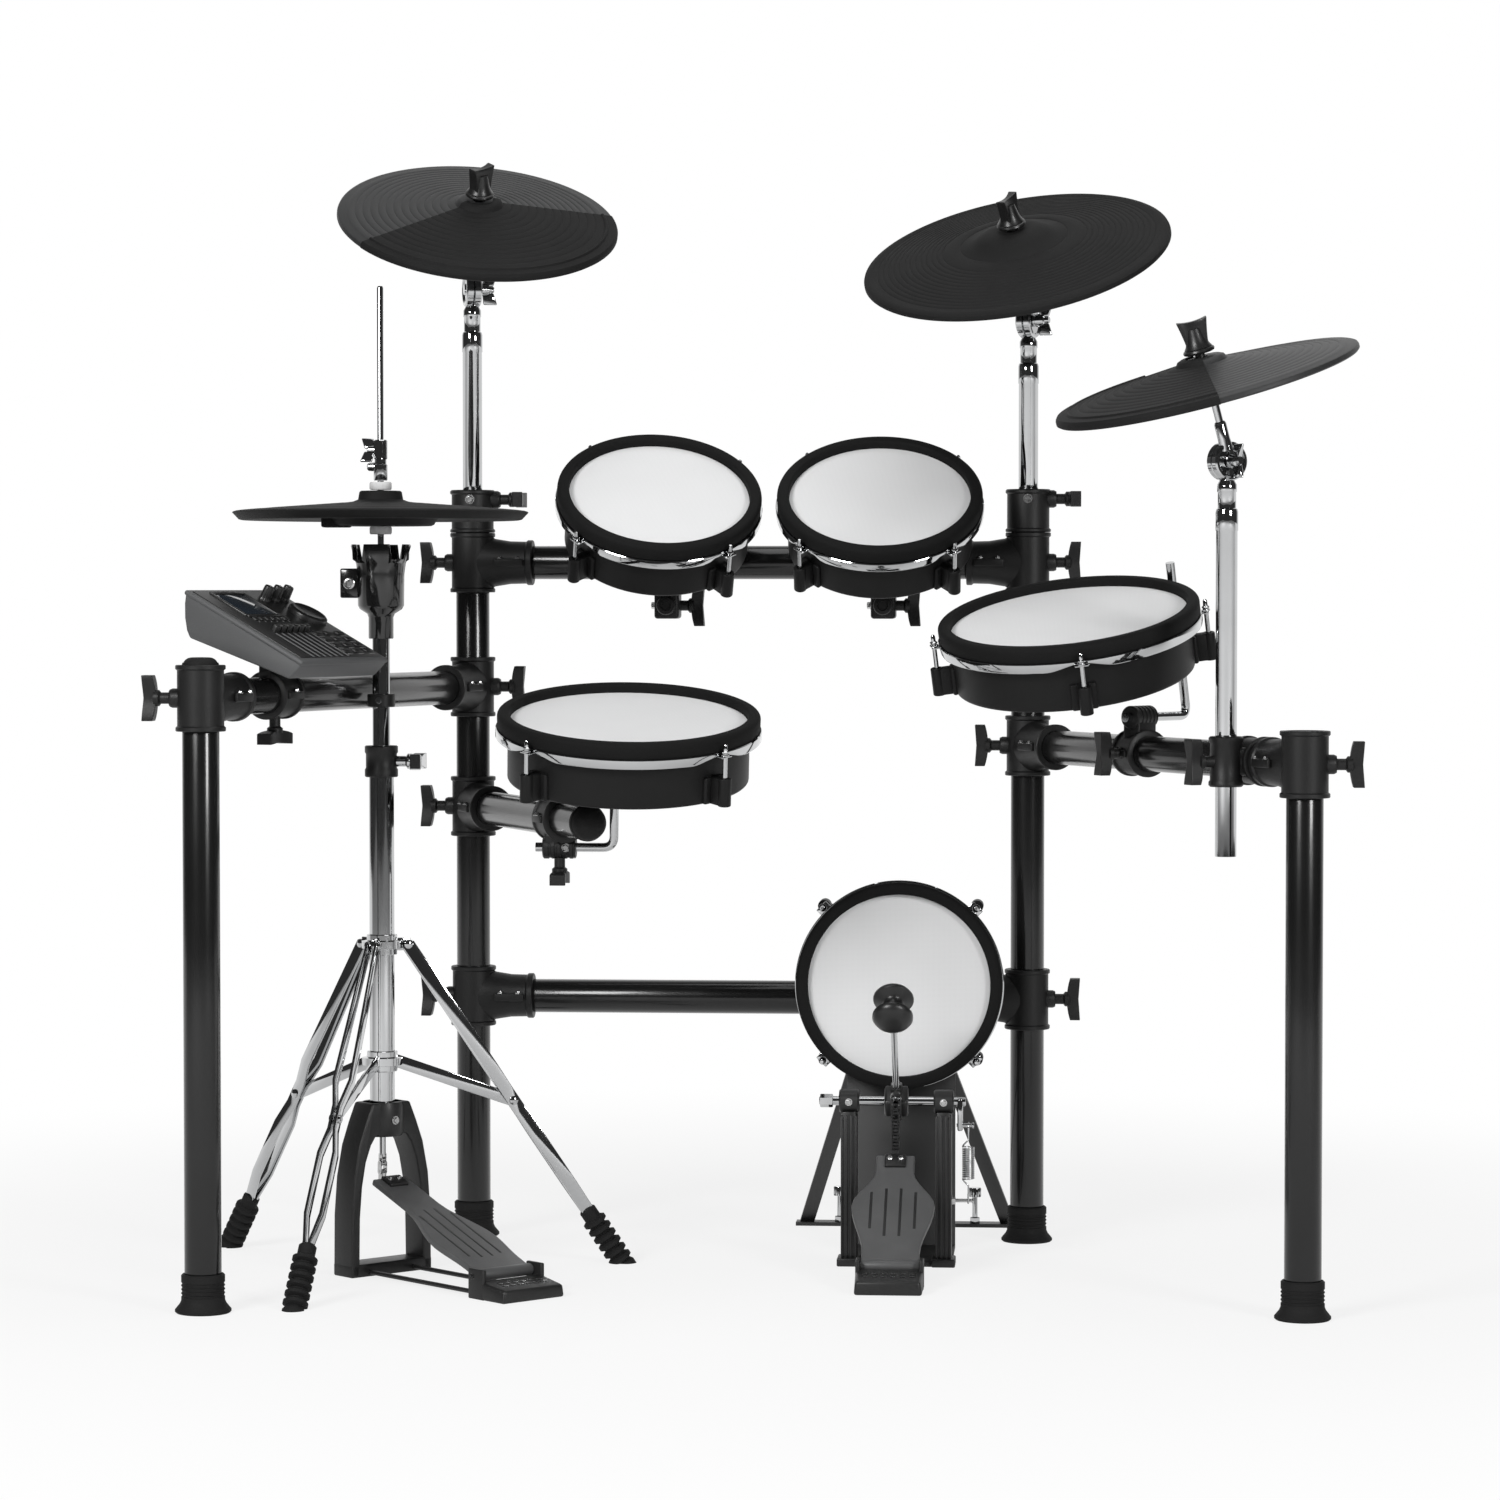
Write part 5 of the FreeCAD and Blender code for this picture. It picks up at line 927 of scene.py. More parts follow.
# Right-hand grips: two black clamps on the right bar. One carries the floor drum's bent rod in a ribbed
# socket, the other is a tall barrel that the right cymbal's mast slides in.
right_way = ((middle_of("front_leg_right") - right_post) * on_floor).normalized()
right_inside = right_way.cross(up)
right_rise = up * middle_of("side_bar_right").z
floor_grip = floor_socket * on_floor + right_rise
black, steel = bar_sleeve(floor_grip, right_way)
black += ribbed_socket(floor_socket, socket_way, -up, 38 * MM)
black += t_handle(floor_grip + right_inside * 24 * MM, right_inside, up)
steel += hex_screw(floor_socket - back * 11.6 * MM, -back, 3.4 * MM, 4 * MM)
mast_at = joint_at("crash_right_tilt") * on_floor + right_rise
mast_bar = mast_at - right_inside * 36 * MM
made = bar_sleeve(mast_bar, right_way)
black += made[0]
steel += made[1]
barrel_half = 26 * MM
black.append(turned("barrel", [
    (11.3 * MM, -barrel_half), (16.4 * MM, -barrel_half), (18 * MM, -barrel_half + 1.6 * MM),
    (18 * MM, -barrel_half + 5 * MM), (16.6 * MM, -barrel_half + 7 * MM), (16.6 * MM, barrel_half - 7 * MM),
    (18 * MM, barrel_half - 5 * MM), (18 * MM, barrel_half - 1.6 * MM), (16.4 * MM, barrel_half),
    (11.3 * MM, barrel_half)], Matrix.Translation(mast_at), 56))
web = facing((mast_at + mast_bar) / 2, up, right_inside)
black.append(block("web", (36, 29, 29), (0, 0, 0), web, 4, 3))
black += t_handle(mast_at + right_inside * 17 * MM, right_inside, up)
dress(joined("right_grips", black), nylon_black, "right_wing", "clamp_plastic", "right_bar_grips")
dress(joined("right_grip_screws", steel), zinc, "right_wing", "bright_steel")

# Cymbal pads: a ribbed plastic plate with a black rubber skin, over the player's half on the crashes and
# all over the ride. Each rocks on a felt under a plastic wing knob, on a chrome mast with a toothed
# tilter.
plate_grey = grained(
    "plate_plastic", grey(0.020, 0.02), grey(0.030, 0.02), rough=(0.42, 0.14), fine=(800.0, 2.0),
    bump=(0.0001, 0.5), Specular_IOR_Level=0.3)
strike_black = grained(
    "strike_rubber", grey(0.006), grey(0.011), rough=(0.60, 0.22), fine=(1100.0, 3.0), coarse=(16.0, 3.0),
    bump=(0.00014, 0.6), Specular_IOR_Level=0.2)
knob_black = grained(
    "knob_plastic", grey(0.008), grey(0.014), rough=(0.26, 0.16), fine=(60.0, 3.0), bump=(0.0001, 0.3))


def slope(inner, outer, grooves, depth=0.45 * MM):
    """The top of a pad from bell to edge, with evenly spaced round grooves cut into it."""
    half_wide = 1 * MM
    points = [inner]
    for step in range(1, grooves + 1):
        share = step / (grooves + 1)
        radius = inner[0] + (outer[0] - inner[0]) * share
        height = inner[1] + (outer[1] - inner[1]) * share
        points += [(radius - half_wide, height), (radius, height - depth), (radius + half_wide, height)]
    return points + [outer]


def wing_knob(place, foot):
    """The knob on top of a pad: a round collar and a blade that flares upwards, hollowed on top."""
    height = 32 * MM
    thick = 13 * MM
    low = 22 * MM
    high = 32 * MM
    collar = turned("collar", [
        (0, foot - 3.5 * MM), (13 * MM, foot - 3.5 * MM),
        *arc((14 * MM, foot - 1 * MM), 2.5 * MM, -90, 90, 4), (14.5 * MM, foot + 2 * MM),
        (12.5 * MM, foot + 5 * MM), (10.5 * MM, foot + 10 * MM), (9 * MM, foot + 16 * MM),
        (7.5 * MM, foot + 22 * MM), (0, foot + 23 * MM)], place, 40)
    blade = brick("blade", (low, thick, height), (0, 0, foot + height / 2), place)
    subdivided(blade, 5)
    for vertex in blade.data.vertices:
        rise = max(vertex.co.z / height + 0.5, 0)
        across = vertex.co.x / (low / 2)
        vertex.co.x *= 1 + (high / low - 1) * rise ** 1.5
        vertex.co.y *= 1 - 0.35 * rise * (1 - across * across) - 0.15 * rise
        if rise > 0.99:
            vertex.co.z -= 2 * MM * (1 - across * across)
    rounded(blade, 1.6 * MM, 3, 50)
    return [collar, blade]


def tilter(hinge, across, lean, reach):
    """Two toothed discs face to face with a bolt, the stem above, and a wing nut."""
    place = upright(hinge, across)
    disc = 20 * MM
    thick = 9 * MM
    face = [(0, 0.1 * MM), (disc - 1.5 * MM, 0.1 * MM), (disc, 1.2 * MM), (disc, thick - 1.5 * MM),
            (disc - 1.5 * MM, thick), (disc - 4 * MM, thick), (disc - 5.5 * MM, thick - 1.6 * MM),
            (7 * MM, thick - 1.6 * MM), (6 * MM, thick + 0.6 * MM), (0, thick + 0.6 * MM)]
    fixed = [turned("disc", face, place, 48)]
    turning = [turned("disc", [(r, -z) for r, z in face], place, 48)]
    nut_foot = -thick - 1 * MM
    spread = place @ Matrix.Rotation(math.radians(90), 4, "Z")
    fixed.append(turned("bolt", [
        (0, 0), (4 * MM, 0), (4 * MM, nut_foot), (7.5 * MM, nut_foot), (6 * MM, nut_foot - 9 * MM),
        (4 * MM, nut_foot - 10 * MM), (3.4 * MM, nut_foot - 15 * MM), (0, nut_foot - 15 * MM)], place, 24))
    for side in (-1, 1):
        wing = brick("wing", (14 * MM, 4.6 * MM, 13 * MM), (side * 10.5 * MM, 0, nut_foot - 8 * MM), spread)
        for vertex in wing.data.vertices:
            if vertex.co.x * side > 0:
                vertex.co.z = vertex.co.z * 1.25 - 3 * MM
                vertex.co.y *= 0.7
        fixed.append(rounded(wing, 1.6 * MM, 3, 30))
    stem = upright(hinge - across * (thick / 2), lean)
    turning.append(turned("stem", [
        *mm((0, 12), (7.5, 12), (6.4, 24), (6.4, 40), (5.4, 42), (4, 42.5)), (4 * MM, reach), (0, reach)],
        stem, 24))
    return fixed, turning


for name, radius, bell, tail, covered, knob_turn, skin_turn in (
        ("crash_left", 160 * MM, [(7.5, 14), (20, 14), (24, 12.4), (27, 8)], (-10, -17), True, 55, 16),
        ("ride", 175 * MM, [(7.5, 15), (20, 15), (30, 13.2), (40, 9.4), (48, 4)], (-14, -21), False, 62, 0),
        ("crash_right", 160 * MM, [(7.5, 14), (20, 14), (24, 12.4), (27, 8)], (-10, -17), True, 0, -20)):
    hinge = joint_at(f"{name}_tilt")
    pivot = joint_at(f"{name}_rock")
    lean = (pivot - hinge).normalized()
    across = Vector(joints[f"{name}_tilt"]["axis"])
    place = upright(pivot, lean)
    swing = math.atan2(*(place.inverted().to_3x3() @ Vector((lean.x, lean.y, 0))).yx)
    place = place @ Matrix.Rotation(swing, 4, "Z")
    bell = mm(*bell)
    top, foot = tail[0] * MM, tail[1] * MM
    rim = radius - 0.8 * MM if covered else radius
    edge = [
        (rim - 3 * MM, top), (rim - 0.8 * MM, top - 1 * MM), (rim, top - 3 * MM), (rim, foot + 1.5 * MM),
        (rim - 1.5 * MM, foot), (rim - 11 * MM, foot), (rim - 13 * MM, foot + 2 * MM)]
    under = [*mm((50, -9), (48, -9.5), (47, -14.5), (45, -15), (13, -15), (13, 0)), bell[0]]
    if covered:
        face = bell[:-1] + slope(bell[-1], (radius - 12 * MM, top + 1.2 * MM), 13)
        face.append((radius - 10 * MM, top + 0.2 * MM))
        plate = turned(f"{name}_plate", face + edge + under, place, 160)
        dress(plate, plate_grey, f"{name}_pad", "cymbal_rubber", f"{name}_pad")
        lift = 1.6 * MM
        skin_top = [(r + lift * 0.4, z + lift) for r, z in bell[1:]]
        sector = turned(f"{name}_strike_rubber", [
            (16 * MM, bell[1][1] - 1 * MM), (16 * MM, bell[1][1] + lift), *skin_top[:-1],
            *slope(skin_top[-1], (radius - 16 * MM, top + 1.6 * MM + lift), 11),
            (radius - 14.5 * MM, top + 2.8 * MM + lift), (radius - 12.5 * MM, top + 2.8 * MM + lift),
            (radius - 11 * MM, top + 0.9 * MM + lift), (radius - 2.4 * MM, top - 0.2 * MM + lift),
            (radius - 0.6 * MM, top - 1 * MM), (radius - 0.1 * MM, top - 2.4 * MM),
            (radius - 0.1 * MM, foot + 1 * MM), (radius - 2 * MM, foot - 0.4 * MM),
            (radius - 6 * MM, foot - 0.4 * MM), (radius - 6 * MM, top - 4 * MM), (27 * MM, 4 * MM),
            (16 * MM, bell[1][1] - 1 * MM)], None, 160)
        half_angle = math.radians(79)
        for side in (-1, 1):
            halved(sector, (0, 0, 0), (-math.sin(half_angle), side * math.cos(half_angle), 0))
        sector.matrix_world = place @ Matrix.Rotation(math.radians(skin_turn), 4, "Z")
        dress(sector, strike_black, f"{name}_pad", "cymbal_rubber")
    else:
        face = bell[:-1] + slope(bell[-1], (74 * MM, -0.2 * MM), 1)
        face += slope((76 * MM, -0.4 * MM), (radius - 10 * MM, top + 0.9 * MM), 13)
        face.append((radius - 8 * MM, top + 1.4 * MM))
        plate = turned(f"{name}_plate", face + edge + under, place, 160)
        dress(plate, strike_black, f"{name}_pad", "cymbal_rubber", f"{name}_pad")
    fixed, turning = tilter(hinge, across, lean, (pivot - hinge).length)
    felt = turned("felt", mm((0, -9), (10, -9), (10.5, -4), (4.9, 0), (5.2, 19), (0, 19)), place, 32)
    dress(
        joined(f"{name}_tilter_stem", turning), chrome, f"{name}_tilter", "tilter_chrome", f"{name}_tilter")
    turn = Matrix.Rotation(math.radians(90 + knob_turn) - math.atan2(lean.x, -lean.y), 4, "Z")
    knob = joined(f"{name}_wing_knob", [felt, *wing_knob(place @ turn, 22 * MM)])
    dress(knob, knob_black, f"{name}_tilter", "clamp_plastic")
    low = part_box(f"{name}_mast")[0].z
    joint = hinge.z - 58 * MM
    mast = turned("mast", [
        (0, low), (11.1 * MM, low), (11.1 * MM, joint - 14 * MM), (11.7 * MM, joint - 13 * MM),
        (11.7 * MM, joint + 6 * MM), (10.9 * MM, joint + 9 * MM), (9.5 * MM, joint + 10 * MM),
        (9.5 * MM, hinge.z - 32 * MM), (10.2 * MM, hinge.z - 31 * MM), (10.2 * MM, hinge.z - 24 * MM),
        (8 * MM, hinge.z - 20 * MM), (7 * MM, hinge.z - 10 * MM), (0, hinge.z - 10 * MM)],
        Matrix.Translation((hinge.x, hinge.y, 0)), 48)
    dress(
        joined(f"{name}_mast_tube", [mast, *fixed]), chrome, f"{name}_mast", "stand_chrome", f"{name}_mast")

# Sound module: a wedge of textured dark grey plastic with an overhanging lid and a black control panel.
# It has a screen, six faders between rails, soft buttons, a dial and three tall knobs, and tilts on a
# fork over the left bar.
casing_grey = grained(
    "module_casing", grey(0.055, 0.02), grey(0.090, 0.02), rough=(0.46, 0.14), fine=(1400.0, 2.0),
    bump=(0.00016, 0.7))
panel_black = grained("module_panel", grey(0.007), grey(0.012), rough=(0.34, 0.12), fine=(900.0, 2.0))
screen_glass = grained(
    "module_screen", (0.010, 0.014, 0.020, 1), (0.022, 0.028, 0.036, 1), rough=(0.06, 0.05),
    fine=(30.0, 1.0), Coat_Weight=0.4)
marking_grey = grained("panel_marking", grey(0.30), grey(0.40), rough=(0.5, 0.1), fine=(80.0, 2.0))
case_long = 159 * MM
case_wide = 180 * MM


def prism(name, outline, half, place, width, segments=2):
    """A bar of one cross-section: the outline lies in the place's X and Z, and its length runs along Y."""
    bpy.ops.object.select_all(action="DESELECT")
    bpy.ops.mesh.primitive_circle_add(vertices=len(outline), fill_type="NGON")
    piece = bpy.context.object
    piece.name = name
    for vertex, (x, z) in zip(piece.data.vertices, outline):
        vertex.co = (x, -half, z)
    bpy.ops.object.mode_set(mode="EDIT")
    bpy.ops.mesh.select_all(action="SELECT")
    bpy.ops.mesh.extrude_region_move(TRANSFORM_OT_translate={"value": (0, half * 2, 0)})
    bpy.ops.mesh.select_all(action="SELECT")
    bpy.ops.mesh.normals_make_consistent(inside=False)
    bpy.ops.object.mode_set(mode="OBJECT")
    rounded(piece, width, segments, 25)
    piece.matrix_world = place
    return piece


def fluted(piece, radius, count, depth):
    """Cuts shallow flutes round a turned piece, where it is at least so wide."""
    for vertex in piece.data.vertices:
        if math.hypot(vertex.co.x, vertex.co.y) > radius:
            wave = math.cos(math.atan2(vertex.co.y, vertex.co.x) * count)
            inwards = 1 - depth * (0.5 + 0.5 * wave)
            vertex.co.x *= inwards
            vertex.co.y *= inwards
    return piece


side = Vector(joints["module_tilt"]["axis"])
out = Vector(joints["module_dial_turn"]["axis"])
down = side.cross(out)
dial_at = joint_at("module_dial_turn")
desk = placed(down, side, out, dial_at + down * 17 * MM - side * 64 * MM)
half = case_long / 2
body = prism("case", [
    (-half + 1 * MM, -3 * MM), (half - 1 * MM, -3 * MM), (half - 1.4 * MM, -8 * MM),
    (half - 7 * MM, -24 * MM), (-half + 27 * MM, -43 * MM), (-half + 20 * MM, -37.5 * MM),
    (-half + 12 * MM, -27 * MM), (-half + 5 * MM, -14 * MM)], case_wide / 2 - 1.4 * MM, desk, 2.2 * MM, 3)
lid = brick("lid", (case_long, case_wide, 5.4 * MM), (0, 0, -2.8 * MM), desk, 2.3 * MM, 4)
hub_at = joint_at("module_tilt")
hub = turned("hub", mm(
    (4.2, -15), (6.4, -15), (7, -14.4), (7, 14.4), (6.4, 15), (4.2, 15)), upright(hub_at, side), 40)
neck = block("neck", (14, 29.6, 17), (0, 0, 8.5), facing(hub_at, out, down), 1.5)
dress(joined("module_casing", [body, lid, hub, neck]), casing_grey, "module", "case_plastic", "module_case")
panel_size = (case_long - 13 * MM, case_wide - 13 * MM, 1.2 * MM)
flat = [brick("panel", panel_size, (-1 * MM, 0, 0.2 * MM), desk, 0.5 * MM)]
bezel_long = 50 * MM
bezel_wide = 66 * MM
bezel_bar = 5 * MM
for x, y, long, wide in (
        (-bezel_long / 2, 0, bezel_bar, bezel_wide), (bezel_long / 2, 0, bezel_bar, bezel_wide),
        (0, -bezel_wide / 2, bezel_long, bezel_bar), (0, bezel_wide / 2, bezel_long, bezel_bar)):
    flat.append(brick(
        "bezel", (long, wide, 2.2 * MM), (x - 43 * MM, y - 24 * MM, 1.1 * MM), desk, 0.8 * MM))
for step in range(6):
    cap = block("cap", (7, 9, 8), (15, -50 + 12 * step, 4), desk)
    for vertex in cap.data.vertices:
        if vertex.co.z > 0:
            vertex.co.x *= 0.72
    flat.append(rounded(cap, 1.1 * MM, 3, 30))
    flat.append(block("soft", (6.5, 9.5, 2.4), (-11, -50 + 12 * step, 1.2), desk, 0.9, 3))
for row in range(4):
    for column in range(3):
        flat.append(block("button", (7, 15, 2.5), (22 + 13 * row, 26 + 23 * column, 1.25), desk, 1.1, 3))
dress(joined("module_panel", flat), panel_black, "module", "control_plastic", "module_controls")
rails = [block("rail", (52, 2.4, 1.7), (46, -56 + 12 * step, 0.85), desk, 0.7, 3) for step in range(7)]
dress(joined("fader_rails", rails), casing_grey, "module", "case_plastic")
screen = block("module_screen", (42, 58, 1.0), (-43, -24, 1.0), desk, 0.4)
dress(screen, screen_glass, "module", "control_plastic")
marks = [block("mark", (2.2, 0.7, 0.3), (-6, -50 + 12 * step, 0.85), desk, 0.1) for step in range(6)]
for row in range(4):
    for column in range(3):
        spot = (28.4 + 13 * row, 26 + 23 * column, 0.85)
        marks.append(block("mark", (0.7, 11, 0.3), spot, desk, 0.1))
dress(joined("module_marks", marks), marking_grey, "module", "control_plastic")
wheel = turned("module_jog", mm(
    (0, 0.2), (22, 0.2), (22, 3.6), (21.4, 5.4), (19.5, 6.8), (18, 7), (16.8, 6), (10, 5.2), (0, 5)),
    upright(dial_at, out), 96)
dress(fluted(wheel, 21.8 * MM, 48, 0.012), knob_black, "dial", "control_plastic", "module_dial")
for step in range(3):
    knob_at = joint_at(f"module_knob_{step + 1}_turn")
    place = upright(knob_at, out)
    grip = turned("grip", mm(
        (0, 0.2), (6.5, 0.2), (6.5, 2.6), (5.9, 3.4), (5.9, 5), (5.5, 15.4), (4.9, 16.8), (0, 17)),
        place, 96)
    fluted(grip, 5.3 * MM, 16, 0.05)
    dress(
        joined(f"module_pot_{step + 1}", [grip]), knob_black, f"knob_{step + 1}", "control_plastic",
        f"module_knob_{step + 1}")
    line = block(f"pot_{step + 1}_line", (0.9, 5.4, 0.5), (0, 2.6, 16.9), place, 0.15)
    dress(line, marking_grey, f"knob_{step + 1}", "control_plastic")

# Module fork: a black clamp round the left bar with two ears. A bright screw through them is the module's
# pivot, and a T-handle below pinches the clamp.
left_way = ((middle_of("front_leg_left") - left_post) * on_floor).normalized()
module_bar = hub_at - up * 36 * MM
black, steel = bar_sleeve(module_bar, left_way)
for sign in (-1, 1):
    out_by = sign * 18.15 * MM
    fork = facing(module_bar, up, side)
    black.append(brick("ear", (6 * MM, 14 * MM, 20 * MM), (out_by, 0, 27 * MM), fork, 1.2 * MM))
    black.append(turned(
        "ear_end", mm((0, -3), (6.4, -3), (7, -2.4), (7, 2.4), (6.4, 3), (0, 3)),
        upright(hub_at + side * out_by, side), 40))
    steel += hex_screw(hub_at + side * (sign * 21 * MM), side * sign, 4.6 * MM, 4.4 * MM)
black.append(block("saddle", (44, 14, 8), (0, 0, 23), facing(module_bar, up, side), 2, 3))
steel.append(turned("pin", mm((0, -20), (4, -20), (4, 20), (0, 20)), upright(hub_at, side), 24))
black += t_handle(module_bar - up * 24 * MM, -up, left_way)
dress(joined("module_fork", black), nylon_black, "left_wing", "clamp_plastic", "module_bracket")
dress(joined("module_fork_screws", steel), zinc, "left_wing", "bright_steel")

# Hi-hat stand: two chrome tubes, one inside the other, on a tripod of paired chrome straps with ribbed
# rubber shoes. A nylon collar with a bright bolt sets the height, and a gloss black controller cup sits
# on top.
gloss_black = grained(
    "cup_gloss", grey(0.005), grey(0.009), rough=(0.10, 0.08), fine=(18.0, 2.0), Coat_Weight=0.5)
pole_at = middle_of("hihat_pad") * on_floor
pole_place = Matrix.Translation(pole_at)
collar_high = 358 * MM
collar_low = 231 * MM
knee_radius = 145 * MM
shoe_radius = 235 * MM
shoe_rise = 50 * MM
lug_radius_out = 28 * MM
strap_wide = 14 * MM


def upright_tube(name, radius, bore, low, high):
    """A length of tube on the hi-hat's pole, its ends eased."""
    return turned(name, [
        (bore, low), (radius - 0.5 * MM, low), (radius, low + 0.5 * MM), (radius, high - 0.5 * MM),
        (radius - 0.5 * MM, high), (bore, high), (bore, low)], pole_place, 48)


bright = [
    upright_tube("lower", 13.5 * MM, 11.5 * MM, 160 * MM, 556 * MM),
    upright_tube("upper", 9.5 * MM, 7.5 * MM, 420 * MM, 700 * MM)]
shoes = []
for height in (collar_high, collar_low):
    bright.append(turned("collar", mm(
        (13.6, -11), (16, -11), (16.5, -10.4), (16.5, -5), (22, -4), (22, 4), (16.5, 5), (16.5, 10.4),
        (16, 11), (13.6, 11)), pole_place @ Matrix.Translation((0, 0, height)), 56))
for step in range(3):
    turn = math.radians(19 + 120 * step)
    outward = Vector((math.cos(turn), math.sin(turn), 0))
    across = up.cross(outward)
    top = pole_at + outward * lug_radius_out + up * collar_high
    low = pole_at + outward * shoe_radius + up * shoe_rise
    along = (low - top).normalized()
    long = (low - top).length
    knee = long * (knee_radius - lug_radius_out) / (shoe_radius - lug_radius_out)
    strap_place = placed(along, across.cross(along), across, top)
    rows = [
        (0, 3.4), (knee / MM - 44, 7.6), (knee / MM - 14, 1.5), (knee / MM + 14, 1.5), (knee / MM + 42, 7),
        (long / MM - 48, 7), (long / MM - 16, 1.5), (long / MM, 1.5)]
    for sign in (-1, 1):
        inner = [(x * MM, y * MM * sign) for x, y in rows]
        outer = [(x * MM, (y + 3) * MM * sign) for x, y in rows]
        bright.append(prism("strap", inner + outer[::-1], strap_wide / 2, strap_place, 0.6 * MM))
    for spot, half in ((top, 7 * MM), (top + along * knee, 4.6 * MM)):
        for sign in (-1, 1):
            bright.append(turned(
                "rivet", mm((0, 0), (5, 0), (4.6, 1.4), (2.6, 2.4), (0, 2.6)),
                upright(spot + across * (half * sign), across * sign), 24))
    bright.append(brick(
        "lug", (lug_radius_out, 6.4 * MM, strap_wide), (0, 0, 0),
        facing(pole_at + outward * (lug_radius_out * 0.6) + up * collar_high, up, outward), 1 * MM))
    root = pole_at + outward * 15 * MM + up * collar_low
    knee_at = top + along * knee
    reach = knee_at - root
    bright.append(brick("strut", (reach.length, 2.8 * MM, strap_wide), (0, 0, 0),
                        facing((root + knee_at) / 2, reach.cross(across), reach), 0.6 * MM))
    ribs = [point for row in range(6) for point in (
        (9.5 * MM, (13 + 10 * row) * MM), (13.4 * MM, (15.5 + 10 * row) * MM),
        (13.4 * MM, (19 + 10 * row) * MM), (9.5 * MM, (21.5 + 10 * row) * MM))]
    shoe = turned("shoe", [
        *mm((0, 0), (7.5, 0), (9.5, 2)), *ribs, *mm((12.5, 76), (12.5, 84), (0, 84))],
        upright(low - along * 14 * MM, along), 40)
    shoes.append(halved(joined("shoe", [shoe]), (0, 0, 0), (0, 0, -1)))
bright += t_handle(pole_at + right * 18 * MM + up * 557 * MM, right, back)
bright += hex_screw(pole_at - back * 15 * MM + up * 623 * MM, -back, 3 * MM, 3 * MM)
dress(joined("hihat_chrome", bright), chrome, "rack", "stand_chrome", "hihat_stand")
tripod_shoes = dress(joined("tripod_shoes", shoes), foot_black, "rack", "foot_rubber", "tripod_feet")
for vertex in tripod_shoes.data.vertices:
    vertex.co.z = max(vertex.co.z, 0.0)
black = [
    turned("height_collar", mm(
        (13.6, 540), (17, 540), (18, 541), (18, 548), (16.8, 550), (16.8, 565), (18, 567), (18, 573),
        (17, 574), (9.6, 574)), pole_place, 48),
    turned("lock_ring", mm(
        (9.6, 616), (14.2, 616), (15, 616.8), (15, 629.2), (14.2, 630), (9.6, 630)), pole_place, 48)]
dress(joined("hihat_collars", black), nylon_black, "rack", "clamp_plastic")
cup = turned("cup", mm(
    (9.6, 690), (13, 690), (13.5, 691), (13.5, 713), (15, 717), (23, 722), (25, 726), (25.4, 760),
    (27, 771), (32.6, 790), (32, 792), (28, 792), (24, 768), (20, 764), (4, 764)), None, 96)
notch_foot = 772 * MM
notches = 4
for vertex in cup.data.vertices:
    wave = math.cos(notches * math.atan2(vertex.co.y, vertex.co.x) + math.pi)
    if vertex.co.z > 770 * MM and wave > 0.45:
        vertex.co.z = notch_foot + (vertex.co.z - notch_foot) * 0.2
cup.matrix_world = pole_place
jack_box = block("jack_box", (20, 22, 32), (-33, 0, 750), pole_place, 2, 3)
dress(joined("controller_cup", [cup, jack_box]), gloss_black, "rack", "case_plastic")
jack = turned(
    "jack_nut", mm((0, 0), (6.4, 0), (6.4, 2), (5, 3), (3.4, 3), (3.2, 0.6), (0, 0.6)),
    upright(pole_at - right * 33 * MM - back * 11 * MM + up * 750 * MM, -back), 32)
dress(jack, zinc, "rack", "bright_steel")

# Hi-hat pad and pull rod: one wedge-edged pad of black rubber over a plate with a trigger housing. Two
# white felts hold it to a chrome clutch on the rod, which a wing nut and a plain nut pinch.
hat = pole_place @ Matrix.Translation((0, 0, 826 * MM))
bell = mm((4, 24), (21.4, 24), (23, 22.6), (24.4, 14.5), (30, 12.4))
face = slope((36 * MM, 11.6 * MM), (120 * MM, 5.6 * MM), 9, 0.5 * MM)
face += slope((121 * MM, 5.5 * MM), (150 * MM, 3.2 * MM), 1)
edge = mm((156, 2.4), (159.2, 1.4), (160, 0.4), (153, -7), (150, -7.8), (120, -7))
under = mm((63, -6), (61, -7), (58, -12.4), (55, -14), (4, -14))
pad = turned("hihat_rubber", bell + face + edge + under, hat, 160)
box = block("trigger_box", (30, 26, 12), (-44, -26, -10), hat, 2.5, 3)
dress(joined("hihat_rubber", [pad, box]), strike_black, "hihat_top", "cymbal_rubber", "hihat_pad")
rod = turned("rod", mm((0, 128), (3.5, 128), (3.5, 1069), (2.6, 1071), (0, 1071)), pole_place, 24)
clutch = turned("clutch", mm(
    (0, 861), (7, 861), (7.5, 862), (7.5, 878), (6.4, 879), (6.4, 884), (7.5, 885), (7.5, 904), (6.6, 905),
    (0, 905)), pole_place, 40)
bright = [rod, clutch]
wing_height = 894 * MM
for height in (wing_height, 876 * MM):
    stem = facing(pole_at + up * height - right * 6 * MM, -right, up * 0.9 + back * 0.4)
    bright.append(turned("nut", mm((0, 0), (5, 0), (4.4, 7), (3, 8.4), (0, 8.4)), stem, 24))
    if height == wing_height:
        for lobe in (-1, 1):
            wing = block("wing", (12, 3.4, 11), (lobe * 8, 0, 6), stem)
            for vertex in wing.data.vertices:
                if vertex.co.x * lobe > 0:
                    vertex.co.z = vertex.co.z * 1.2 + 3 * MM
            bright.append(rounded(wing, 1.4 * MM, 3, 30))
dress(joined("hihat_pull_rod", bright), chrome, "hihat_top", "stand_chrome", "hihat_rod")
felt_white = grained(
    "white_felt", grey(0.55), grey(0.70), rough=(0.85, 0.1), fine=(500.0, 4.0), bump=(0.0004, 0.6))
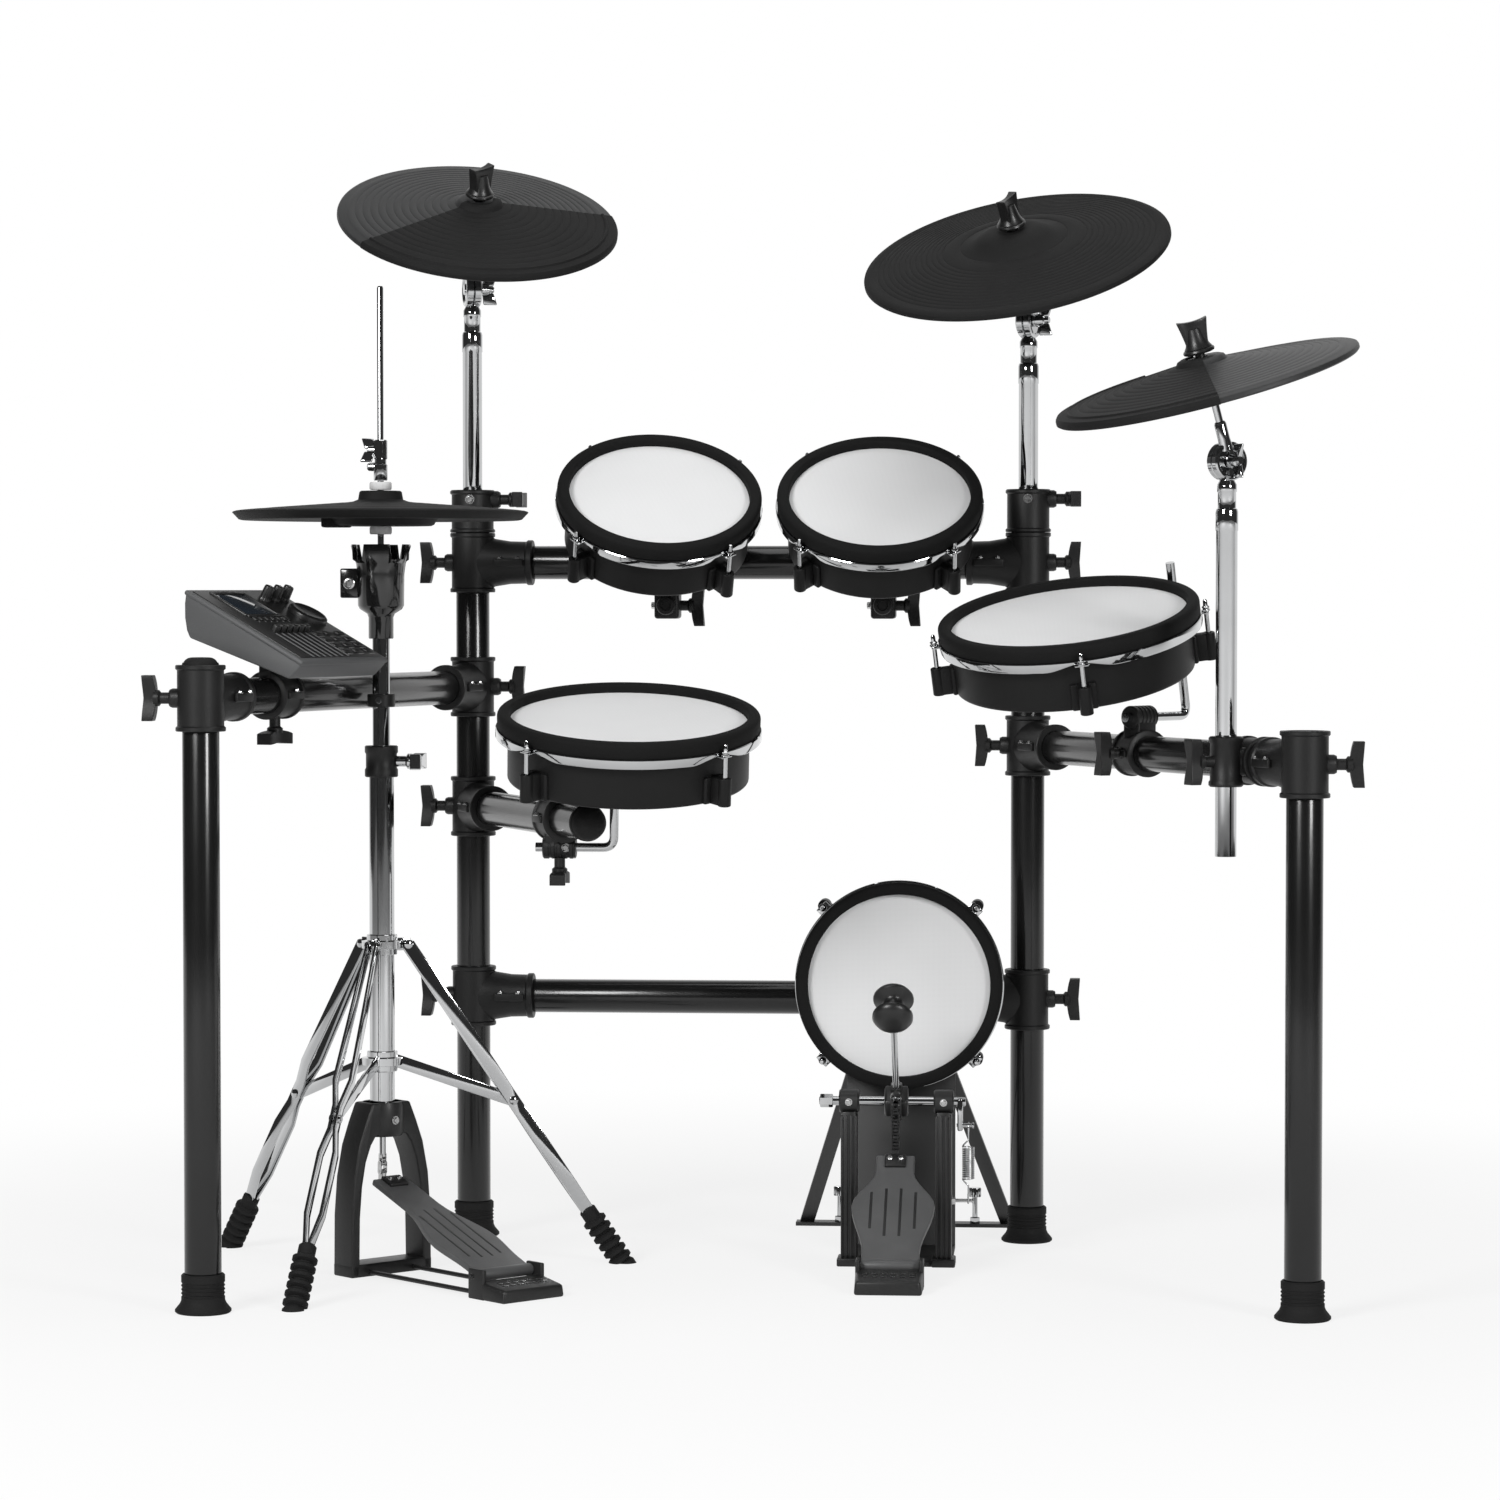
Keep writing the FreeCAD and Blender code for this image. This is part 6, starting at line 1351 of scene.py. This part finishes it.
felts = [turned("felt", [
    (3.6 * MM, low), (11 * MM, low), (12 * MM, low + 1.5 * MM), (12 * MM, low + 7 * MM),
    (11 * MM, low + 8.5 * MM), (3.6 * MM, low + 8.5 * MM)], pole_place, 40) for low in (851 * MM, 803 * MM)]
dress(joined("hihat_felts", felts), felt_white, "hihat_top", "hoop_rubber")

# Hi-hat pedal: a black arched casting under the tubes, a heel block on two floor wires, a footboard with
# painted-shade grooves that turns on a pin in the heel's ears, and a short bright roller chain up to the
# pull rod.
casting_black = grained(
    "pedal_casting", grey(0.008), grey(0.015), rough=(0.34, 0.18), fine=(320.0, 3.0), bump=(0.00015, 0.5))
tread_grey = grained(
    "pedal_tread", grey(0.060, 0.01), grey(0.100, 0.01), rough=(0.38, 0.16), fine=(700.0, 3.0),
    coarse=(26.0, 3.0), bump=(0.00014, 0.6))


def heel_block(hinge, way, half, gap, long, high):
    """The block behind a footboard's hinge, its ears and the hinge pin; its rows of slots are thin dark
    gloss patches on its slope, painted shade.
    """
    side = up.cross(way)
    ground = Vector((hinge.x, hinge.y, 0))
    ear_out = half + 2.8 * MM
    wide = (ear_out + 2.5 * MM) * 2
    heel = brick(
        "heel", (long, wide, high), (0, 0, high / 2), facing(ground + way * (gap + long / 2), up, way))
    for vertex in heel.data.vertices:
        if vertex.co.z > 0 and vertex.co.x > 0:
            vertex.co.z -= high * 0.32
            vertex.co.y *= 0.94
    pieces = [rounded(heel, 3 * MM, 3, 30)]
    for sign in (-1, 1):
        pieces.append(brick(
            "ear", (gap + 16 * MM, 5 * MM, 32 * MM), (gap / 2, sign * ear_out, 16 * MM),
            facing(ground, up, way), 1.6 * MM, 3))
    # The slots are not cut: thin dark gloss patches, barely proud of the slope, are painted shade for the
    # openings.
    slot_shade = []
    tilt = math.atan2(high * 0.32, long)
    face_at = ground + way * (gap + long / 2) + up * (high * 0.84)
    face = facing(face_at, up, way) @ Matrix.Rotation(tilt, 4, "Y")
    for row in (-1, 1):
        for column in range(6):
            slot_shade.append(block("slot", (4, 6.4, 0.8), (row * 4.6, (column - 2.5) * 10, 0.1), face, 0.3))
    pin = turned("pin", [
        (0, -wide / 2), (3.5 * MM, -wide / 2), (3.5 * MM, wide / 2), (0, wide / 2)],
        upright(hinge, side), 24)
    return pieces, slot_shade, pin


def footboard(name, hinge, way, angle, plan, grooves, body, node):
    """A contoured board from its hinge barrel to its toe clamp; its long grooves are dark strips laid flush
    on the tread, painted shade.
    """
    side = up.cross(way)
    rising = way * -math.cos(math.radians(angle)) + up * math.sin(math.radians(angle))
    place = placed(rising, side.cross(rising), side, hinge)
    edge = []
    for (start, wide), (end, narrow) in zip(plan, plan[1:]):
        for step in range(6):
            share = step / 6
            ease = share * share * (3 - 2 * share)
            edge.append((start + (end - start) * share, wide + (narrow - wide) * ease))
    edge.append(plan[-1])
    outline = mm(*edge) + [(x * MM, -y * MM) for x, y in edge[::-1]]
    top = 1 if side.cross(rising).z > 0 else -1
    toe = plan[-1][0] * MM
    heel = plan[0][1]
    board = prism("board", outline, 3.5 * MM, place, 1.8 * MM, 3)
    barrel = turned("barrel", mm(
        (3.7, -heel), (6, -heel), (6.5, 1 - heel), (6.5, heel - 1), (6, heel), (3.7, heel)),
        upright(hinge, side), 32)
    dress(joined(name, [board, barrel]), tread_grey, body, "pedal_metal", node)
    dark = []
    # The grooves are not cut: each is a dark strip laid flush on the lighter tread, painted shade for the
    # groove.
    for start, end, offset in grooves:
        dark.append(block(
            "groove", (end - start, 0.9, 3.2), ((start + end) / 2, top * 3.2, offset), place, 0.4))
    dark.append(brick(
        "toe_clamp", (20 * MM, 5 * MM, plan[-1][1] * 1.1 * MM), (toe - 11 * MM, top * 4.4 * MM, 0), place,
        1.4 * MM, 3))
    # Painted-shade groove strips, together with the real black toe clamp.
    dress(joined(f"{name}_grooves", dark), casting_black, body, "pedal_metal")
    screws = [screw for sign in (-1, 1) for screw in hex_screw(
        place @ Vector((toe - 9 * MM, top * 6.6 * MM, sign * 6 * MM)), place.to_3x3() @ Vector((0, top, 0)),
        2.6 * MM, 3 * MM)]
    dress(joined(f"{name}_screws", screws), zinc, body, "bright_steel")
    return place


def roller_chain(name, start, end, side, finish, body, node):
    """Two rows of link plates, inner and outer in turn, on rollers."""
    reach = end - start
    count = max(3, round(reach.length / (8 * MM)))
    pitch = reach.length / count
    place = facing(start, side, reach)
    pieces = []
    for step in range(count):
        out_by = (3.6 if step % 2 else 2.5) * MM
        for sign in (-1, 1):
            plate = turned("link", mm((0, -0.5), (3.2, -0.5), (3.2, 0.5), (0, 0.5)), None, 24)
            for vertex in plate.data.vertices:
                vertex.co.x += pitch / 2 * (1 if vertex.co.x > 0 else -1)
            plate.matrix_world = place @ Matrix.Translation(((step + 0.5) * pitch, 0, sign * out_by))
            pieces.append(plate)
        roller_at = (step + 0.5) * pitch + pitch / 2 * (step < count - 1)
        pieces.append(turned("roller", mm(
            (0, -4.4), (1.2, -4.4), (1.2, -2.2), (2.5, -2), (2.5, 2), (1.2, 2.2), (1.2, 4.4), (0, 4.4)),
            place @ Matrix.Translation((roller_at, 0, 0)), 16))
    return dress(joined(name, pieces), finish, body, "bright_steel", node)


hat_hinge = joint_at("hihat_pedal")
hat_way = ((hat_hinge - pole_at) * on_floor).normalized()
hat_side = up.cross(hat_way)
arch_half = [(54, 0), (53.4, 66), (50, 108), (43, 142), (34, 166), (25, 187)]
arch_in = [(20, 152), (27, 142), (34, 124), (39, 98), (42, 64), (43, 0)]
arch = mm(*arch_half) + [(-x * MM, z * MM) for x, z in arch_half[::-1]]
arch += [(-x * MM, z * MM) for x, z in arch_in[::-1]] + mm(*arch_in)
arch_place = placed(-hat_side, hat_way, up, pole_at)
made, slot_shade, pin = heel_block(hat_hinge, hat_way, 36 * MM, 10 * MM, 42 * MM, 20 * MM)
black = [
    prism("arch", arch, 17 * MM, arch_place, 2.4 * MM, 3),
    turned("socket", mm(
        (13.7, 150), (21, 150), (23, 153), (23, 182), (21.4, 187), (13.7, 187)), pole_place, 48),
    block("foot_plate", (108, 34, 14), (0, 0, 7), arch_place, 2, 3), *made]
for sign in (-1, 1):
    start = pole_at + hat_way * 17 * MM + hat_side * (30 * MM * sign) + up * 5 * MM
    black.append(bent_rod("wire", [start, start + hat_way * 205 * MM], 2.5 * MM, 0))
dress(joined("hihat_casting", black), casting_black, "rack", "pedal_metal", "hihat_frame")
# Painted shade: dark gloss patches standing for the heel's slots.
dress(joined("hihat_heel_slots", slot_shade), gloss_black, "rack", "pedal_metal")
steel = [pin, *hex_screw(pole_at + hat_way * 23 * MM + up * 168 * MM, hat_way, 3.4 * MM, 3.6 * MM)]
dress(joined("hihat_pedal_pin", steel), zinc, "rack", "bright_steel")
hat_plan = [(0, 36), (20, 36), (70, 41), (150, 22), (216, 22)]
hat_grooves = [(34, 128, -21), (30, 140, -7), (30, 140, 7), (34, 128, 21)]
board = footboard(
    "hihat_tread", hat_hinge, hat_way, 21, hat_plan, hat_grooves, "hihat_pedal", "hihat_footboard")
roller_chain(
    "hihat_roller_chain", board @ Vector((216 * MM, 0, 0)) - hat_way * 11 * MM, pole_at + up * 127.8 * MM,
    hat_side, zinc, "hihat_top", "hihat_chain")

# Kick tower: folded black steel plate behind the kick pad with a floor plate and two flat stays down to a
# cross bar, which has a bright spur bolt with a knurled head at each end.
sheet_black = grained(
    "tower_enamel", grey(0.009), grey(0.015), rough=(0.36, 0.16), fine=(380.0, 3.0), bump=(0.00014, 0.5))
kick_hinge = joint_at("kick_pedal")
axle_at = joint_at("kick_beater_swing")
kick_foot = Vector((axle_at.x, left_post.y, 0))
dress(eased("kick_tower", "tower_sheet", 1.0 * MM), sheet_black, "rack", "pedal_metal", "kick_tower")
bright = []
for sign in (-1, 1):
    spur = kick_foot + back * 114 * MM + right * (79 * MM * sign)
    head = turned("spur", mm(
        (0, 4.4), (3.2, 4.4), (3.2, 34), (7.2, 34.6), (7.4, 36), (7.4, 44), (6.6, 45.4), (0, 45.4)),
        Matrix.Translation(spur), 64)
    bright.append(fluted(head, 7 * MM, 16, 0.08))
    bright.append(turned(
        "nut", mm((0, 4.2), (6.4, 4.2), (6.4, 10), (5.6, 10.8), (0, 10.8)), Matrix.Translation(spur), 6))
dress(joined("tower_spurs", bright), chrome, "rack", "bright_steel")

# Kick pedal: two ribbed black uprights on a steel plate carry round bearings. The heel block lies in
# front on two wires, and its footboard pulls a black chain down from the toothed cam on the axle.
made, slot_shade, pin = heel_block(kick_hinge, -back, 31 * MM, 8 * MM, 44 * MM, 22 * MM)
plate_y = -189.25 * MM
sole_size = (126 * MM, 38.5 * MM, 5 * MM)
sole = brick("sole", sole_size, (0, plate_y, 2.5 * MM), Matrix.Translation(kick_foot), 1 * MM)
black = [sole, *made]
bright = [pin]
axle_y = axle_at.y - kick_foot.y
post_out = 52 * MM
for sign in (-1, 1):
    at = Matrix.Translation(kick_foot + right * (post_out * sign) + back * axle_y)
    black.append(block("post", (15, 23, 170), (0, 0, 85), at, 1.5))
    for rib in range(4):
        black.append(block("rib", (2.6, 26, 166), ((rib - 1.5) * 5, 0, 83), at, 0.8))
    black.append(turned(
        "bearing", mm((5.2, -11), (11.4, -11), (13, -9.4), (13, 9.4), (11.4, 11), (5.2, 11)),
        upright(axle_at + right * (post_out * sign), right), 48))
    black.append(block("foot", (26, 36, 9), (0, 0, 4.5), at, 1.6, 3))
    bright += hex_screw(axle_at + right * (post_out * sign) - back * 13 * MM, -back, 3 * MM, 3 * MM)
    wire = Vector((kick_foot.x + 20 * MM * sign, kick_hinge.y - 8 * MM, 3 * MM))
    black.append(bent_rod("wire", [
        wire, wire + back * (kick_foot.y + plate_y - 19 * MM - wire.y)], 3 * MM, 0))
dress(joined("kick_uprights", black), casting_black, "rack", "pedal_metal", "kick_pedal_frame")
# Painted shade: dark gloss patches standing for the heel's slots.
dress(joined("kick_heel_slots", slot_shade), gloss_black, "rack", "pedal_metal")
anchor = Vector((kick_foot.x, axle_at.y, 72 * MM))
bright.append(turned(
    "anchor", mm((0, 58), (2, 58), (2, 83), (3.4, 83.4), (3.4, 85), (0, 85)), upright(anchor, right), 20))
bright += hex_screw(anchor + right * 60 * MM, right, 4.4 * MM, 5 * MM)
dress(joined("kick_pedal_screws", bright), zinc, "rack", "bright_steel")
kick_plan = [(0, 31), (20, 31), (95, 45), (150, 21), (178, 21)]
kick_grooves = [(56, 116, -24), (44, 122, -8), (44, 122, 8), (56, 116, 24)]
footboard("kick_tread", kick_hinge, -back, 33, kick_plan, kick_grooves, "kick_pedal", "kick_footboard")
oiled = grained("chain_black", grey(0.03), grey(0.06), rough=(0.30, 0.12), fine=(90.0, 2.0), Metallic=0.9)
chain_foot = kick_foot - back * 215 * MM + up * 124.6 * MM
chain_top = kick_foot - back * 221.2 * MM + up * 178 * MM
kick_chain = roller_chain("kick_roller_chain", chain_foot, chain_top, right, oiled, None, "kick_chain")
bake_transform(kick_chain)

# Beater: a chrome axle and shaft with a clamp block and a toothed black cam. The head is two black
# mushrooms back to back, and the spring's crank is at the right.
shaft_lean = math.radians(40)
shaft_way = -back * math.sin(shaft_lean) + up * math.cos(shaft_lean)
strike_way = back * math.cos(shaft_lean) + up * math.sin(shaft_lean)
shaft_long = 145 * MM
crank_drop = 26 * MM
axle_place = upright(axle_at, right)
bright = [
    turned("axle", mm((0, -85), (4, -85), (5, -84), (5, 75), (4, 76), (0, 76)), axle_place, 32),
    turned("axle_nut", mm((0, -84), (7, -84), (7.4, -83), (7.4, -71), (6.6, -70), (0, -70)), axle_place, 6),
    turned("shaft", [
        (0, 0), (3.5 * MM, 0), (3.5 * MM, shaft_long), (0, shaft_long)], upright(axle_at, shaft_way), 24),
    block("crank", (6, 12, 36), (70, 0, -14), Matrix.Translation(axle_at), 2, 3),
    turned("crank_pin", mm(
        (0, 66), (2, 66), (2, 83), (3.2, 83.4), (3.2, 85), (0, 85)),
        upright(axle_at - up * crank_drop, right), 20),
    *hex_screw(axle_at + shaft_way * 16 * MM - strike_way * 13 * MM, -strike_way, 3.4 * MM, 4 * MM)]
dress(joined("beater_shaft", bright), chrome, "kick_beater", "stand_chrome", "kick_beater")
cam = turned("cam", mm(
    (5, -6), (20, -6), (20.6, -4), (24, -1.6), (24, 1.6), (20.6, 4), (20, 6), (5, 6)), axle_place, 112)
clamp = block("clamp", (26, 27, 24), (0, 0, 0), facing(axle_at, shaft_way, right), 3, 3)
black = [fluted(cam, 21 * MM, 14, 0.16), clamp]
head_half = [
    (0, 24), (9, 24), (14, 22.6), (19.6, 18.4), (22, 14.6), (22, 12.4), (20.4, 10.4), (13, 7.6), (11, 5),
    (10.6, 0)]
profile = mm(*head_half) + [(r * MM, -z * MM) for r, z in head_half[-2::-1]]
black.append(turned("mushroom", profile, upright(axle_at + shaft_way * shaft_long, strike_way), 64))
dress(joined("beater_head", black), knob_black, "kick_beater", "hoop_rubber")

# Return spring: one bright wire, closely wound, with a hook at each end. It pulls the crank's pin down
# towards the pin beside the upright.
wind = 6.15 * MM
pitch = 2.35 * MM
turns = 15
hook = 5 * MM
lead = 8 * MM
hook_mid = 39.45 * MM
tail = 6 * MM
half_path = [Vector((wind * math.cos(a), wind * math.sin(a), pitch * a / (2 * math.pi)))
             for a in (math.pi * step / 14 for step in range(14 * turns + 1))]
last = half_path[-1]
for step in range(1, 11):
    share = step / 10
    a = math.pi * turns + math.pi / 2 * share
    reach = wind + (hook - wind) * share
    half_path.append(Vector((reach * math.cos(a), reach * math.sin(a), last.z + lead * share)))
for step in range(15):
    a = math.pi * step / 14
    half_path.append(Vector((0, -hook * math.cos(a), hook_mid + hook * math.sin(a))))
half_path.append(Vector((0, hook, hook_mid - tail)))
path = [Vector((point.x, -point.y, -point.z)) for point in half_path[:0:-1]] + half_path
spring_rise = (anchor + axle_at - up * crank_drop) / 2 * up
spring_mid = spring_rise + Vector((axle_at.x + 79 * MM, axle_at.y, 0))
coil = bent_rod("spring_wire", [spring_mid + point for point in path], 0.85 * MM, 0.02 * MM)
dress(coil, chrome, None, "bright_steel", "kick_spring")
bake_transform(coil)
